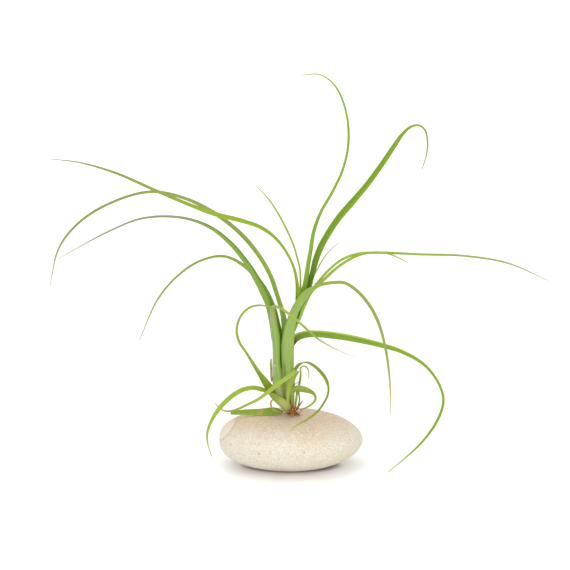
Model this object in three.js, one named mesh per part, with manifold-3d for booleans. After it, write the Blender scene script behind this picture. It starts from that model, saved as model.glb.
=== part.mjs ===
// An air plant that stands on a smooth pebble: two shoots of rolled leaf bases rise from one root crown,
// and long thin channelled leaves arch out of them on every side.
// Millimetres, +Z up, the origin at the middle of the flat foot under the pebble, the front towards -Y.
import * as THREE from "three";
import { mergeVertices } from "three/addons/utils/BufferGeometryUtils.js";
import Module from "manifold-3d";

const wasm = await Module();
wasm.setup();

// ---- driving dimensions ----
const GAP = 0.35; // between two pieces that touch
const BLADE = 0.62; // thickness of a leaf
const LONGEST_STEP = 7.5; // along a leaf, from one section to the next
const SHARPEST_TURN = THREE.MathUtils.degToRad(15); // from one section to the next
const SHORTEST_STEP = 1.3;
const TIDY = 0.03; // sliver edges shorter than this are taken out after a cut

const PEBBLE = {
  halfLength: 41.1,
  halfDepth: 30,
  halfHeight: 16.35,
  foot: 0.6, // how much of the rounded underside the flat foot takes off
  bluntLeft: 2.34, // roundness exponent of the full left end
  bluntRight: 1.9, // and of the leaner right end
  bluntPlan: 2.1, // roundness exponent seen from above
};

const ROOTS = {
  count: 12,
  radius: 0.42,
  tip: 0.26,
  reach: [4, 8.5], // how far a root runs out from the crown
  crown: [-1.2, -7.4], // the middle of the crown, on top of the pebble
};

// The stem forks just above the roots. Each branch runs up inside its shoot, and the leaves wrap round it.
const STEM = {
  crown: { line: [[-1.2, -7.4, 30.5], [-1.3, -7.2, 33.2], [-1.5, -7, 36.5]], radius: [3.1, 2.1, 0.8] },
  left: {
    line: [[-1.5, -7, 34], [-4.8, -6.9, 40], [-7.2, -7, 48], [-8, -7.2, 60], [-9.2, -7.4, 76], [-10, -7.8, 86]],
    radius: [0.8, 0.9, 1.1, 1.1, 1, 0.7],
  },
  right: {
    line: [[-1.3, -7, 34], [-0.8, -7.2, 40], [-0.8, -7.6, 50], [-1.6, -7.8, 66], [0.4, -8.4, 80],
      [4.8, -9.4, 95]],
    radius: [0.8, 0.9, 1.2, 1.2, 1.1, 0.8],
  },
};

const LEAF = { color: 0x86a83c, roughness: 0.55, metalness: 0 };
const SHEATH = { color: 0x8fae6a, roughness: 0.65, metalness: 0 };
const DRY = { color: 0xa89a5c, roughness: 0.8, metalness: 0 };
const ROOT = { color: 0x8a5a30, roughness: 0.85, metalness: 0 };
const STONE = { color: 0xcfbfa4, roughness: 0.85, metalness: 0 };

// Every leaf is a strip bent into a channel. line is its keel from root to tip. width, wrap and open are
// stops along it, each with its distance from the root first: the width of the channel, how far round
// its section curls to each side of the keel in degrees, and the way that the channel opens.
// folds is how many flats its section has. A leaf gives way to those listed before it.
const LEAVES = [
  {
    name: "right_leaf_front",
    look: SHEATH,
    folds: 6,
    line: [
      [-0.8, -8.5, 35], [-1.8, -9.5, 38.8], [-2.4, -10.5, 43.6], [-2.2, -11, 49], [-1.8, -11, 55.4],
      [-2, -11, 63.6], [-2, -11.5, 72.2], [-1.4, -12, 79.2], [-0.2, -12.5, 85.4], [0.6, -12.5, 88.8],
      [1.6, -13, 92.4], [3.4, -14, 96], [5.4, -15, 99.6], [7.4, -16.5, 102.6], [9.2, -18, 105],
      [12.6, -20.5, 107.8], [15.2, -23, 109.8], [19, -26, 111.4], [23.2, -29.5, 112.6], [29, -33, 113],
      [37.8, -38, 107], [45.6, -43, 95.4], [50.4, -47, 78.4], [52.8, -49, 58], [52.8, -50, 44.4],
    ],
    width: [
      [0, 3.4], [4, 4.2], [14, 5.4], [21, 6.3], [29, 6.9], [38, 6.9], [45, 6.4], [51, 5.6], [55, 4.9],
      [71, 4], [74, 3.6], [79, 2.3], [83, 1.8], [94, 1.7], [127, 1.6], [180, 0.5],
    ],
    wrap: [[0, 100], [38, 95], [51, 85], [64, 65], [79, 45], [179, 30]],
    open: [
      [0, [0, 1, 0]], [58, [0, 1, 0]], [75, [0, 0.95, 0.2]], [93, [0, 0.95, 0.2]],
      [112, [0.1, 0.95, 0.1]], [127, [0.2, 0.95, 0]], [180, [0.2, 0.95, 0]],
    ],
  },
  {
    name: "left_leaf_front",
    look: SHEATH,
    folds: 6,
    line: [
      [-3, -8.5, 36.8], [-4.4, -9, 39.2], [-6, -10, 42.6], [-7.2, -10, 46.8], [-7.6, -10, 51.6],
      [-7.8, -10, 56.4], [-8.4, -10, 61], [-8.6, -10, 66.2], [-8.8, -10, 71.8], [-9.2, -10, 77.6],
      [-10, -10, 84], [-10.4, -10.5, 89.2], [-10.6, -11.5, 92.8], [-10.4, -13, 95.2], [-9, -15.5, 96.2],
      [-6.2, -19.5, 96.4], [-2.2, -24.5, 94.8], [4.6, -32, 90.8], [10.8, -39.5, 86.6],
      [15.4, -44.5, 84], [24.8, -52.5, 80.6], [34.4, -60, 78.2],
    ],
    width: [
      [0, 2], [7, 4.6], [11, 5.5], [16, 6], [21, 5.4], [25, 4.2], [31, 4], [42, 4.4], [48, 3.9],
      [60, 2.5], [63, 2.4], [68, 1.7], [75, 1.4], [96, 1.2], [116, 0.6], [129, 0.5],
    ],
    wrap: [[0, 95], [42, 90], [54, 80], [60, 60], [68, 40], [129, 30]],
    open: [
      [0, [0, 1, 0]], [24, [0.1, 1, 0]], [38, [0.3, 0.95, 0]], [48, [0.3, 0.95, 0.1]],
      [57, [0.2, 0.9, 0.3]], [62, [0.1, 0.9, 0.35]], [72, [0.1, 0.95, 0.2]], [129, [0.2, 0.95, 0.1]],
    ],
  },
  {
    name: "base_leaf_across",
    look: LEAF,
    folds: 4,
    line: [
      [-1.4, -10.5, 35.4], [-2, -11.5, 38.8], [-1.8, -12, 42], [-1.8, -13, 45.2], [-1.2, -13.5, 48.2],
      [-0.6, -14, 51.6], [0.4, -15, 54.6], [1.8, -16, 57.4], [3.2, -17, 59.6], [3, -19, 60.8],
      [0.8, -21, 59.8], [-2.8, -22, 57.2], [-6.6, -23, 54.8], [-10.6, -23, 51.6], [-14.4, -23.5, 48.6],
      [-18.8, -23.5, 45.4], [-23.8, -23, 42.8], [-30.4, -22.5, 39.6], [-35.4, -22, 38.4],
      [-39.4, -21, 39.4], [-42.4, -20, 42.8],
    ],
    width: [
      [0, 2], [7, 1.9], [10, 2], [13, 3], [17, 3.6], [20, 3.6], [23, 3], [26, 2.2], [29, 3.2],
      [32, 2.1], [46, 2.2], [56, 1.5], [84, 0.5],
    ],
    wrap: [[0, 60], [20, 65], [26, 50], [32, 35], [84, 30]],
    open: [
      [0, [0, 1, 0]], [23, [0, 1, 0.2]], [28, [0.3, 0.5, 0.8]], [33, [0.4, -0.7, 0.6]],
      [84, [0.4, -0.8, 0.5]],
    ],
  },
  {
    name: "base_leaf_left_arch",
    look: LEAF,
    folds: 4,
    line: [
      [-2.4, -9.5, 34.4], [-3.2, -11.5, 37], [-4.6, -12.5, 39.2], [-7, -13, 41.4], [-9.4, -13.5, 43.4],
      [-12.6, -14, 46.4], [-16.2, -15, 48.8], [-20, -16.5, 50.4], [-25, -19, 50.6],
      [-30.2, -22.5, 49.2], [-35.8, -26.5, 45.6], [-41, -30.5, 40.4], [-43.8, -33.5, 36],
      [-45.6, -36, 31.6], [-46, -37.5, 27.8], [-45.2, -39, 23.4], [-43.4, -40, 18],
    ],
    width: [
      [0, 5.3], [3, 6.6], [6, 6.4], [13, 4.5], [17, 4.1], [22, 2.6], [26, 2.3], [46, 2.6], [54, 2.2],
      [74, 0.6], [80, 0.5],
    ],
    wrap: [[0, 70], [9, 60], [22, 40], [80, 30]],
    open: [
      [0, [0.2, 0.95, 0.1]], [9, [0.3, 0.9, 0.2]], [14, [0.3, 0.9, 0.5]], [18, [0.2, 0, 1]],
      [23, [0.2, -0.9, 0.4]], [50, [-0.2, -0.95, 0.2]], [66, [-0.4, -0.9, 0.1]], [80, [-0.4, -0.9, 0]],
    ],
  },
  {
    name: "base_leaf_curled",
    look: LEAF,
    folds: 4,
    line: [
      [0.8, -10, 35.6], [0.8, -11, 39.4], [0.6, -12, 43.2], [0.6, -13, 46.4], [1.4, -14, 48.8],
      [3.4, -15.5, 49.6], [6.4, -16.5, 49.6], [9.2, -17, 49], [11.8, -16.5, 47.8], [13.4, -16, 45.8],
      [13.8, -15, 43.4], [12.2, -14, 40.8], [10, -12.5, 38.6], [7.6, -11, 37], [5, -10, 35.6],
    ],
    width: [
      [0, 1], [4, 1.5], [8, 2.2], [11, 2.5], [17, 3.7], [20, 3.5], [23, 2.9], [28, 1.3], [31, 1.1],
      [38, 1.1], [44, 0.8],
    ],
    wrap: [[0, 50], [11, 40], [20, 30], [44, 30]],
    open: [
      [0, [0, 1, 0]], [20, [0, 1, 0]], [26, [-0.1, 0.95, -0.2]], [31, [-0.3, 0.95, 0]],
      [38, [-0.2, 0.95, 0.2]], [44, [-0.2, 0.95, 0.3]],
    ],
  },
  {
    name: "right_leaf_long_right",
    look: LEAF,
    folds: 4,
    line: [
      [2, -9, 81], [2.8, -9.5, 83.8], [3.6, -10, 86.4], [4.8, -10.5, 89.6], [6, -11, 93.8],
      [7.8, -12, 98], [9.8, -13, 102], [12, -14, 106.2], [15, -16, 110.6], [20.2, -18.5, 117.2],
      [27.6, -21, 123.8], [36.2, -23.5, 127.4], [48, -26, 128.4], [69.2, -30, 128.2],
      [93.6, -33, 127.8], [116, -35, 124.2], [137.4, -36, 115],
    ],
    width: [
      [0, 0.7], [3, 1.1], [9, 2.5], [14, 2.9], [18, 3.1], [23, 3], [33, 2], [42, 1.8], [74, 1.3],
      [167, 0.5],
    ],
    wrap: [[0, 40], [9, 50], [23, 55], [42, 40], [167, 30]],
    open: [
      [0, [-0.2, 1, 0]], [26, [-0.25, 0.95, 0.1]], [42, [-0.15, 0.95, 0.2]], [66, [0, 0.97, 0.15]],
      [167, [0, 0.97, 0.15]],
    ],
  },
  {
    name: "right_leaf_tall",
    look: LEAF,
    folds: 4,
    line: [
      [4.2, -8.8, 88.5], [5, -9, 94], [6.2, -9.5, 99.4], [7, -10.5, 104.4], [8.2, -11.5, 110],
      [8.8, -12.5, 114.8], [9.6, -14, 121], [10.6, -16, 127.2], [12.2, -20, 138.6], [15.8, -23, 149.8],
      [22.2, -26, 161.8], [27.6, -28, 174.4], [30.2, -29, 187.8], [29, -29, 203.6], [23.4, -27, 217.4],
      [15.4, -24, 223.6], [5.4, -20, 223.2],
    ],
    width: [[0, 1.8], [11, 2.5], [22, 2.6], [52, 2], [64, 1.5], [106, 1.2], [159, 0.5]],
    wrap: [[0, 60], [34, 50], [159, 30]],
    open: [
      [0, [-0.1, 1, 0]], [40, [-0.3, 0.9, 0]], [116, [-0.3, 0.9, 0]], [137, [0, 0.9, -0.3]],
      [159, [0, 0.9, -0.4]],
    ],
  },
  {
    name: "right_leaf_hooked",
    look: LEAF,
    folds: 4,
    line: [
      [5.4, -8.2, 91.5], [7.8, -7.5, 97.4], [8.8, -8, 101.6], [9.8, -8, 106], [11, -9, 110.6],
      [12.2, -10, 115], [13.4, -11.5, 120.6], [15.8, -14.5, 128.2], [19.4, -19, 136.2],
      [25.6, -25, 147], [32.8, -31, 156.6], [40.6, -37, 167.2], [47.8, -42, 178.4],
      [53.4, -45.5, 187.8], [57.2, -47.5, 194], [61.2, -49, 198], [65, -49, 199], [68.4, -49, 197],
      [70.2, -48, 190.2], [69.8, -46, 182.6], [67.8, -44, 175.2],
    ],
    width: [
      [0, 0.9], [6, 1.1], [11, 1.5], [15, 1.9], [20, 2.7], [31, 3.5], [76, 3.7], [105, 3.1], [117, 2.6],
      [130, 1.3], [134, 1], [145, 1], [161, 0.5],
    ],
    wrap: [[0, 60], [20, 60], [63, 50], [105, 45], [161, 30]],
    open: [
      [0, [-0.3, -1, 0]], [46, [-0.4, -0.9, 0.1]], [90, [-0.5, -0.8, 0.3]], [116, [-0.3, -0.8, 0.5]],
      [130, [0.1, -0.8, 0.6]], [138, [0.5, -0.8, 0.3]], [161, [0.5, -0.9, 0]],
    ],
  },
  {
    name: "right_leaf_far_left",
    look: LEAF,
    folds: 4,
    line: [
      [2.8, -8, 90], [3.2, -8.5, 95.2], [3.4, -9, 100.4], [3.4, -9.5, 104.8], [3, -10.5, 109.4],
      [2, -11.5, 115.2], [0.2, -12.5, 120.8], [-4.6, -14.5, 129.6], [-10.2, -16.5, 136.2],
      [-17.8, -19, 141.6], [-30, -22.5, 146], [-41.6, -25.5, 149.4], [-54.2, -28.5, 154.6],
      [-71.2, -33, 162.6], [-92.8, -39, 173.2], [-111.4, -43, 179.2], [-127.6, -46, 181.4],
    ],
    width: [
      [0, 1.7], [10, 2.5], [15, 2.3], [20, 1.7], [32, 1.2], [42, 1.4], [60, 2.2], [74, 2.6], [86, 2.6],
      [100, 2], [144, 1.3], [164, 0.7], [181, 0.5],
    ],
    wrap: [[0, 55], [25, 45], [181, 30]],
    open: [
      [0, [0.3, -1, 0]], [31, [0.4, -0.9, 0]], [50, [0.2, -0.8, 0.5]], [74, [0, -0.8, 0.6]],
      [181, [0, -0.8, 0.6]],
    ],
  },
  {
    name: "left_leaf_broad_arch",
    look: LEAF,
    folds: 4,
    line: [
      [-9.8, -8, 75.6], [-10.6, -8.5, 84.8], [-12.2, -10, 94.8], [-15.2, -12, 103.2],
      [-19, -14.5, 111.2], [-24.8, -18, 121.6], [-33.4, -22.5, 133.2], [-44.6, -28, 143],
      [-59.2, -34, 148.8], [-78.8, -40, 149.2], [-97.4, -45, 142.4], [-122.2, -50, 129.4],
    ],
    width: [
      [0, 2.9], [9, 3.8], [19, 4.5], [29, 4.8], [38, 3.9], [50, 3.1], [98, 1.2], [139, 0.6], [168, 0.5],
    ],
    wrap: [[0, 60], [20, 50], [60, 40], [168, 30]],
    open: [
      [0, [0.3, 0.95, 0]], [25, [0.3, 0.95, 0.1]], [60, [0.1, 0.95, 0.25]], [168, [0, 0.95, 0.25]],
    ],
  },
  {
    name: "left_leaf_low_arch",
    look: SHEATH,
    folds: 4,
    line: [
      [-4.4, -5, 38], [-6.4, -5, 42], [-7, -4.5, 47.2], [-7, -4.5, 59.4], [-7, -4.5, 70.4],
      [-7.4, -4, 78], [-8.4, -4, 84], [-9.6, -3, 89.8], [-11.8, -1.5, 96.4], [-16.8, 2, 105.4],
      [-25.4, 7, 114.2], [-37.4, 12.5, 119.6], [-50.6, 18.5, 116.6], [-64.8, 26, 106.6],
      [-78, 33, 90.6], [-90.4, 42, 63.6],
    ],
    width: [
      [0, 2.3], [4, 4], [10, 5.1], [33, 5.4], [41, 5.3], [47, 4.5], [60, 3.4], [71, 3.1], [84, 2.1],
      [98, 1.5], [154, 1], [185, 0.5],
    ],
    wrap: [[0, 80], [41, 80], [56, 55], [71, 40], [185, 30]],
    open: [
      [0, [0, -1, 0]], [50, [0, -1, 0]], [70, [0.3, -0.8, 0.5]], [98, [0, -0.8, 0.6]],
      [132, [-0.4, -0.8, 0.5]], [185, [-0.6, -0.8, 0.2]],
    ],
  },
  {
    name: "right_leaf_high_arch",
    look: SHEATH,
    folds: 4,
    line: [
      [-0.6, -5, 36.8], [-1, -4.5, 40.8], [-1.4, -4.5, 48.4], [-1.8, -4, 60], [-2.2, -4, 70.4],
      [-3.2, -3.5, 79.4], [-4.8, -2, 89], [-7.8, 1, 98.6], [-12.4, 6, 111], [-20.8, 11, 123.8],
      [-30.8, 16, 134], [-44.8, 20, 144], [-61, 24, 151.4], [-80.4, 28, 154.6], [-103, 31, 148.2],
      [-122.2, 33, 136.6], [-135, 34, 121.2], [-141.4, 34, 97.4],
    ],
    width: [
      [0, 2.3], [4, 4], [12, 5.1], [23, 5.1], [34, 4.8], [53, 2.9], [63, 2.7], [126, 2.4], [145, 1.9],
      [165, 1.6], [231, 1.3], [256, 0.5],
    ],
    wrap: [[0, 80], [34, 75], [48, 60], [63, 45], [256, 30]],
    open: [
      [0, [0, -1, 0]], [42, [0, -1, 0]], [60, [0.5, -0.8, 0.2]], [100, [0.2, -0.8, 0.6]],
      [180, [0, -0.8, 0.6]], [231, [-0.5, -0.8, 0.3]], [256, [-0.7, -0.7, 0]],
    ],
  },
  {
    name: "right_leaf_drooping",
    look: LEAF,
    folds: 4,
    line: [
      [0.8, -6.5, 72], [1.8, -5.5, 74.2], [3.4, -4.5, 75.8], [6.4, -3, 77], [10, -1.5, 77.4],
      [15.2, 0, 77.2], [23.6, 1, 76.2], [33.2, 1, 74.8], [47.8, -3, 72.4], [62.2, -8, 69],
      [74.4, -14, 62.8], [81.8, -20, 53.8], [84, -25, 45.4], [80.2, -30, 35.4], [70.8, -35, 23.8],
      [52.6, -42, 9.6],
    ],
    width: [
      [0, 2.6], [3, 3.8], [5, 4.8], [9, 4.2], [13, 4], [27, 4], [82, 1.6], [95, 1.3], [117, 1.6],
      [157, 0.5],
    ],
    wrap: [[0, 70], [13, 55], [50, 40], [157, 30]],
    open: [
      [0, [-0.2, -0.5, 0.9]], [9, [0, -0.8, 0.6]], [40, [0, -0.95, 0.3]], [82, [0.2, -0.9, 0.3]],
      [95, [0.3, -0.9, 0.2]], [123, [0.3, -0.9, 0]], [157, [0.2, -0.9, -0.1]],
    ],
  },
  {
    name: "right_leaf_back_right",
    look: LEAF,
    folds: 4,
    line: [
      [5.2, -8, 91.5], [8, -6.5, 97.4], [10, -4.5, 101.2], [12.4, -1.5, 104.6], [14.8, 2, 106.4],
      [17.4, 5, 108.4], [24.6, 16, 112.8], [34.8, 31, 116], [46.2, 46, 116], [58.6, 61, 113],
      [72.4, 74, 105],
    ],
    width: [[0, 1], [17, 1.7], [21, 1.7], [77, 1.2], [117, 0.5]],
    wrap: [[0, 50], [26, 45], [117, 30]],
    open: [[0, [-0.2, -1, 0]], [31, [-0.1, -1, 0.3]], [117, [0, -0.9, 0.4]]],
  },
  {
    name: "right_leaf_thin_back",
    look: LEAF,
    folds: 2,
    line: [
      [4.4, -7.6, 91.5], [5, -6.5, 97.2], [5.2, -4, 102.4], [5.2, -1, 108], [5, 3, 113.6],
      [3.6, 8, 119], [1.4, 14, 125.8], [-2.6, 22, 133.8], [-7, 30, 141], [-13, 38, 149],
      [-20.6, 44, 156.4],
    ],
    width: [[0, 0.7], [6, 0.9], [25, 0.8], [54, 1], [65, 1], [90, 0.5]],
    wrap: [[0, 50], [90, 30]],
    open: [[0, [0.2, -1, 0]], [90, [0.3, -0.7, 0.6]]],
  },
  {
    name: "right_leaf_short_back",
    look: LEAF,
    folds: 2,
    line: [
      [5, -6.8, 92], [8.6, -5, 96.8], [10.2, -2.5, 101.6], [11.4, 1, 105.4], [12.6, 6, 109],
      [15.2, 18, 111.4], [19.2, 36, 114.6], [24, 56, 116.4], [31, 80, 117.4],
    ],
    width: [[0, 0.7], [12, 1.1], [17, 1.1], [24, 0.8], [36, 0.6], [100, 0.5]],
    wrap: [[0, 50], [100, 30]],
    open: [[0, [-0.3, -0.9, 0.2]], [35, [0, -0.6, 0.8]], [100, [0, -0.5, 0.9]]],
  },
  {
    name: "base_leaf_left_loop",
    look: LEAF,
    folds: 4,
    line: [
      [-8, -7.5, 41.8], [-9.2, -8, 44], [-10.8, -9, 46.4], [-12.8, -10.5, 49.2], [-14.6, -12.5, 52.4],
      [-16.4, -14.5, 55.8], [-18.6, -17, 60], [-22.2, -19.5, 66.8], [-25.6, -21, 72.8],
      [-28.6, -22, 77.8], [-30, -23, 85.4], [-27.4, -22.5, 93.2], [-22.8, -21, 97.2], [-17.4, -19, 98],
      [-11.4, -16.5, 96.6],
    ],
    width: [
      [0, 2.3], [3, 3.5], [6, 4.3], [9, 4.7], [14, 4.1], [18, 3.2], [23, 2.2], [31, 1.6], [38, 1.2],
      [73, 1.1], [79, 0.9],
    ],
    wrap: [[0, 60], [9, 60], [22, 45], [76, 30]],
    open: [
      [0, [0.2, -1, 0.3]], [18, [0.3, -1, 0.3]], [39, [0.4, -0.9, 0.1]], [52, [0.3, -0.95, 0]],
      [67, [0, -0.95, -0.2]], [79, [0, -0.95, -0.2]],
    ],
  },
  {
    name: "base_leaf_cut",
    look: LEAF,
    folds: 4,
    line: [
      [-4.6, -7, 33], [-7, -6.5, 33.6], [-10.4, -5.5, 33.6], [-14.2, -4.5, 33], [-18.6, -3.5, 32.6],
      [-25.6, -1.5, 32], [-34.6, 0.5, 31],
    ],
    width: [[0, 1.7], [3, 3.4], [6, 4.7], [15, 3.5], [31, 2.4]],
    wrap: [[0, 50], [31, 35]],
    open: [[0, [0.3, -0.9, 0.4]], [31, [0, -0.9, 0.4]]],
  },
  {
    name: "base_leaf_hoop",
    look: LEAF,
    folds: 2,
    line: [
      [1, -9.5, 36.8], [1.2, -10, 41.2], [1, -11, 47.2], [1.2, -11.5, 53.2], [1.6, -11.5, 57.2],
      [2.4, -11.5, 60], [4, -11.5, 62], [6.2, -11.5, 63.4], [9.2, -12, 63.8], [12.8, -13.5, 62.2],
      [16.6, -16, 59.2], [19.4, -18.5, 55.6], [20.6, -21.5, 51.6], [20.2, -24, 48.6], [18, -27, 44.8],
      [14, -30, 40.2], [8, -32, 36.2], [1.8, -32.5, 32.6], [-0.8, -32, 29.8],
    ],
    width: [
      [0, 1.1], [11, 1.6], [29, 2], [32, 1.4], [36, 1.5], [41, 1.8], [47, 1.8], [52, 1.1], [75, 1],
      [87, 0.5],
    ],
    wrap: [[0, 45], [87, 35]],
    open: [
      [0, [-0.2, 1, 0]], [20, [-0.1, 1, 0.1]], [26, [0, 0.95, 0.3]], [30, [0, 0, 1]],
      [34, [0.1, -0.9, 0.4]], [47, [0.3, -0.95, 0.1]], [62, [0.3, -0.95, 0]], [87, [0, -0.95, -0.2]],
    ],
  },
  {
    name: "base_leaf_small_hook",
    look: LEAF,
    folds: 2,
    line: [
      [3.2, -7.5, 35.8], [4.4, -8.5, 38.8], [4.8, -9, 42], [4.2, -9.5, 46], [4.4, -9.5, 49.8],
      [5.2, -9.5, 54.2], [5.4, -9.5, 57.8], [5, -9.5, 59.8], [6, -9.5, 61], [7.6, -9.5, 61.4],
      [9.2, -10, 60], [10, -10.5, 57.6], [9.8, -11, 54.4],
    ],
    width: [[0, 0.7], [11, 0.7], [15, 1.1], [19, 1], [23, 0.7], [25, 0.8], [36, 0.5]],
    wrap: [[0, 40], [36, 30]],
    open: [[0, [0, -1, 0]], [23, [0, -1, 0.1]], [36, [0.3, -1, 0]]],
  },
  {
    name: "base_leaf_stub",
    look: LEAF,
    folds: 2,
    line: [[2.4, -8, 36], [2.6, -9, 39.2], [3, -10, 42.4], [3.2, -10.5, 45.4], [3.2, -11.5, 48.4]],
    width: [[0, 0.7], [7, 1.1], [10, 1.1], [13, 0.8]],
    wrap: [[0, 40], [13, 40]],
    open: [[0, [0.2, 1, 0]], [13, [0.2, 1, 0]]],
  },
  {
    name: "base_strand",
    look: DRY,
    folds: 2,
    line: [
      [-5.2, -11, 34.6], [-6.8, -12, 35], [-8.8, -12.5, 36], [-10.6, -13, 37.6], [-11.4, -13, 39.6],
      [-11.4, -13, 41.4], [-10.4, -12.5, 42.4],
    ],
    width: [[0, 0.6], [7, 0.7], [11, 1.1], [12, 0.9]],
    wrap: [[0, 30], [12, 30]],
    open: [[0, [0, -1, 0.4]], [12, [0, -1, 0]]],
  },
  {
    name: "dry_leaf_edge",
    look: DRY,
    folds: 2,
    line: [
      [-10.8, -7.5, 51.6], [-11.2, -7.5, 55], [-11.2, -7.5, 58.6], [-11.4, -7.5, 61.8],
      [-11.2, -7.5, 65],
    ],
    width: [[0, 0.9], [10, 1.2], [13, 0.8]],
    wrap: [[0, 40], [13, 30]],
    open: [[0, [0, 1, 0]], [13, [0, 1, 0]]],
  },
];

// ---- helpers ----

// The value at distance d in a list of [distance, value] stops, straight between one stop and the next.
function at(stops, d) {
  const next = stops.findIndex(([where]) => where >= d);
  if (next <= 0) return next === 0 ? stops[0][1] : stops.at(-1)[1];
  const [[d0, v0], [d1, v1]] = [stops[next - 1], stops[next]];
  const t = (d - d0) / (d1 - d0);
  if (!Array.isArray(v0)) return THREE.MathUtils.lerp(v0, v1, t);
  return v0.map((v, k) => THREE.MathUtils.lerp(v, v1[k], t));
}

function curveThrough(points) {
  const curve = new THREE.CatmullRomCurve3(points.map((p) => new THREE.Vector3(...p)), false, "centripetal");
  curve.arcLengthDivisions = 400;
  return curve;
}

// Places along a curve where a section is needed: closer together where it bends.
function stationsOf(curve) {
  const length = curve.getLength();
  const fine = 300;
  const places = [0];
  let turned = 0;
  let before = curve.getTangentAt(0);
  for (let k = 1; k < fine; k++) {
    const tangent = curve.getTangentAt(k / fine);
    turned += tangent.angleTo(before);
    before = tangent;
    const step = (k / fine - places.at(-1)) * length;
    if (step >= LONGEST_STEP || (turned >= SHARPEST_TURN && step >= SHORTEST_STEP)) {
      places.push(k / fine);
      turned = 0;
    }
  }
  if ((1 - places.at(-1)) * length < SHORTEST_STEP) places.pop();
  return [...places, 1];
}

// The keel point and the three directions of a section: across the channel, into its opening, and along.
function sectionAt(curve, place, open, past) {
  const along = curve.getTangentAt(place);
  const keel = curve.getPointAt(place);
  if (place === 0) keel.addScaledVector(along, -past);
  if (place === 1) keel.addScaledVector(along, past);
  const into = new THREE.Vector3(...open);
  into.addScaledVector(along, -into.dot(along)).normalize();
  return { keel, along, into, across: into.clone().cross(along) };
}

// Moves every vertex of a box of unit length, which lies along z, or of a unit cylinder, to its place.
function reshape(geometry, place) {
  const position = geometry.getAttribute("position");
  const v = new THREE.Vector3();
  for (let k = 0; k < position.count; k++) {
    v.fromBufferAttribute(position, k);
    position.setXYZ(k, ...place(v).toArray());
  }
  return geometry;
}

// A leaf: a flat strip, bent into a channel and along its keel. grow makes it larger all round.
function leafShape(leaf, grow = 0) {
  const curve = curveThrough(leaf.line);
  const length = curve.getLength();
  const places = stationsOf(curve);
  const sections = places.map((place) => {
    const d = place * length;
    const wrap = THREE.MathUtils.degToRad(at(leaf.wrap, d));
    const radius = at(leaf.width, d) / 2 / Math.sin(Math.min(wrap, Math.PI / 2));
    return { ...sectionAt(curve, place, at(leaf.open, d), grow), radius, wrap: wrap + grow / radius };
  });
  const last = places.length - 1;
  return reshape(new THREE.BoxGeometry(1, 1, 1, leaf.folds, 1, last), (v) => {
    const s = sections[Math.round((v.z + 0.5) * last)];
    const angle = 2 * v.x * s.wrap;
    const r = Math.max(0.08, s.radius - v.y * (BLADE + 2 * grow));
    return s.keel
      .clone()
      .addScaledVector(s.into, s.radius - r * Math.cos(angle))
      .addScaledVector(s.across, r * Math.sin(angle));
  });
}

// A round shoot or root that follows its line and tapers from stop to stop.
function taperedShape({ line, radius }, sides, grow = 0) {
  const curve = curveThrough(line);
  const places = stationsOf(curve);
  const last = places.length - 1;
  const sections = places.map((place) => {
    const turn = place * (radius.length - 1);
    const k = Math.min(Math.floor(turn), radius.length - 2);
    const r = THREE.MathUtils.lerp(radius[k], radius[k + 1], turn - k) + grow;
    return { ...sectionAt(curve, place, [0.3, -1, 0.05], grow), r };
  });
  return reshape(new THREE.CylinderGeometry(1, 1, 1, sides, last), (v) => {
    const s = sections[Math.round((0.5 - v.y) * last)];
    return s.keel.clone().addScaledVector(s.into, v.z * s.r).addScaledVector(s.across, v.x * s.r);
  });
}

// The pebble: a ball squared off by the roundness exponents, fuller at its left end, cut flat underneath.
function pebbleShape(grow = 0) {
  const { halfLength, halfDepth, halfHeight, foot, bluntLeft, bluntRight, bluntPlan } = PEBBLE;
  const power = (value, exponent) => Math.sign(value) * Math.abs(value) ** exponent;
  return reshape(new THREE.SphereGeometry(1, 44, 26).rotateX(Math.PI / 2), (v) => {
    const blunt = THREE.MathUtils.lerp(bluntLeft, bluntRight, (v.x + 1) / 2);
    const level = Math.hypot(v.x, v.y);
    const reach = level ** (2 / blunt);
    const plan = level > 0 ? [v.x / level, v.y / level] : [0, 0];
    const height = halfHeight - foot + (halfHeight + grow) * power(v.z, 2 / blunt);
    return new THREE.Vector3(
      (halfLength + grow) * reach * power(plan[0], 2 / bluntPlan),
      (halfDepth + grow) * reach * power(plan[1], 2 / bluntPlan),
      Math.max(-grow, height),
    );
  });
}

function solidOf(geometry) {
  const bare = geometry.clone();
  bare.deleteAttribute("normal");
  bare.deleteAttribute("uv");
  const merged = mergeVertices(bare, 1e-4);
  const mesh = new wasm.Mesh({
    numProp: 3,
    vertProperties: new Float32Array(merged.getAttribute("position").array),
    triVerts: new Uint32Array(merged.index.array),
  });
  return new wasm.Manifold(mesh);
}

function geometryOf(solid) {
  const mesh = solid.getMesh();
  const geometry = new THREE.BufferGeometry();
  geometry.setAttribute("position", new THREE.BufferAttribute(mesh.vertProperties, 3));
  geometry.setIndex(new THREE.BufferAttribute(mesh.triVerts, 1));
  geometry.computeVertexNormals();
  return geometry;
}

// The largest piece of what a cut leaves, without the offcuts and slivers.
function tidied(solid) {
  const largest = (pieces) => pieces.reduce((best, piece) => (piece.volume() > best.volume() ? piece : best));
  return largest(largest(solid.decompose()).simplify(TIDY).decompose());
}

function boxesMeet(a, b) {
  const [p, q] = [a.boundingBox(), b.boundingBox()];
  return [0, 1, 2].every((k) => p.min[k] < q.max[k] && q.min[k] < p.max[k]);
}

const group = new THREE.Group();

function addPart(name, solid, look) {
  const mesh = new THREE.Mesh(geometryOf(solid), new THREE.MeshStandardMaterial(look));
  mesh.name = name;
  group.add(mesh);
}

// ---- the pebble ----
addPart("pebble", solidOf(pebbleShape()), STONE);
const pebbleSpace = solidOf(pebbleShape(GAP));

// ---- the stem, with the roots that hold it on the pebble ----

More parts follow.
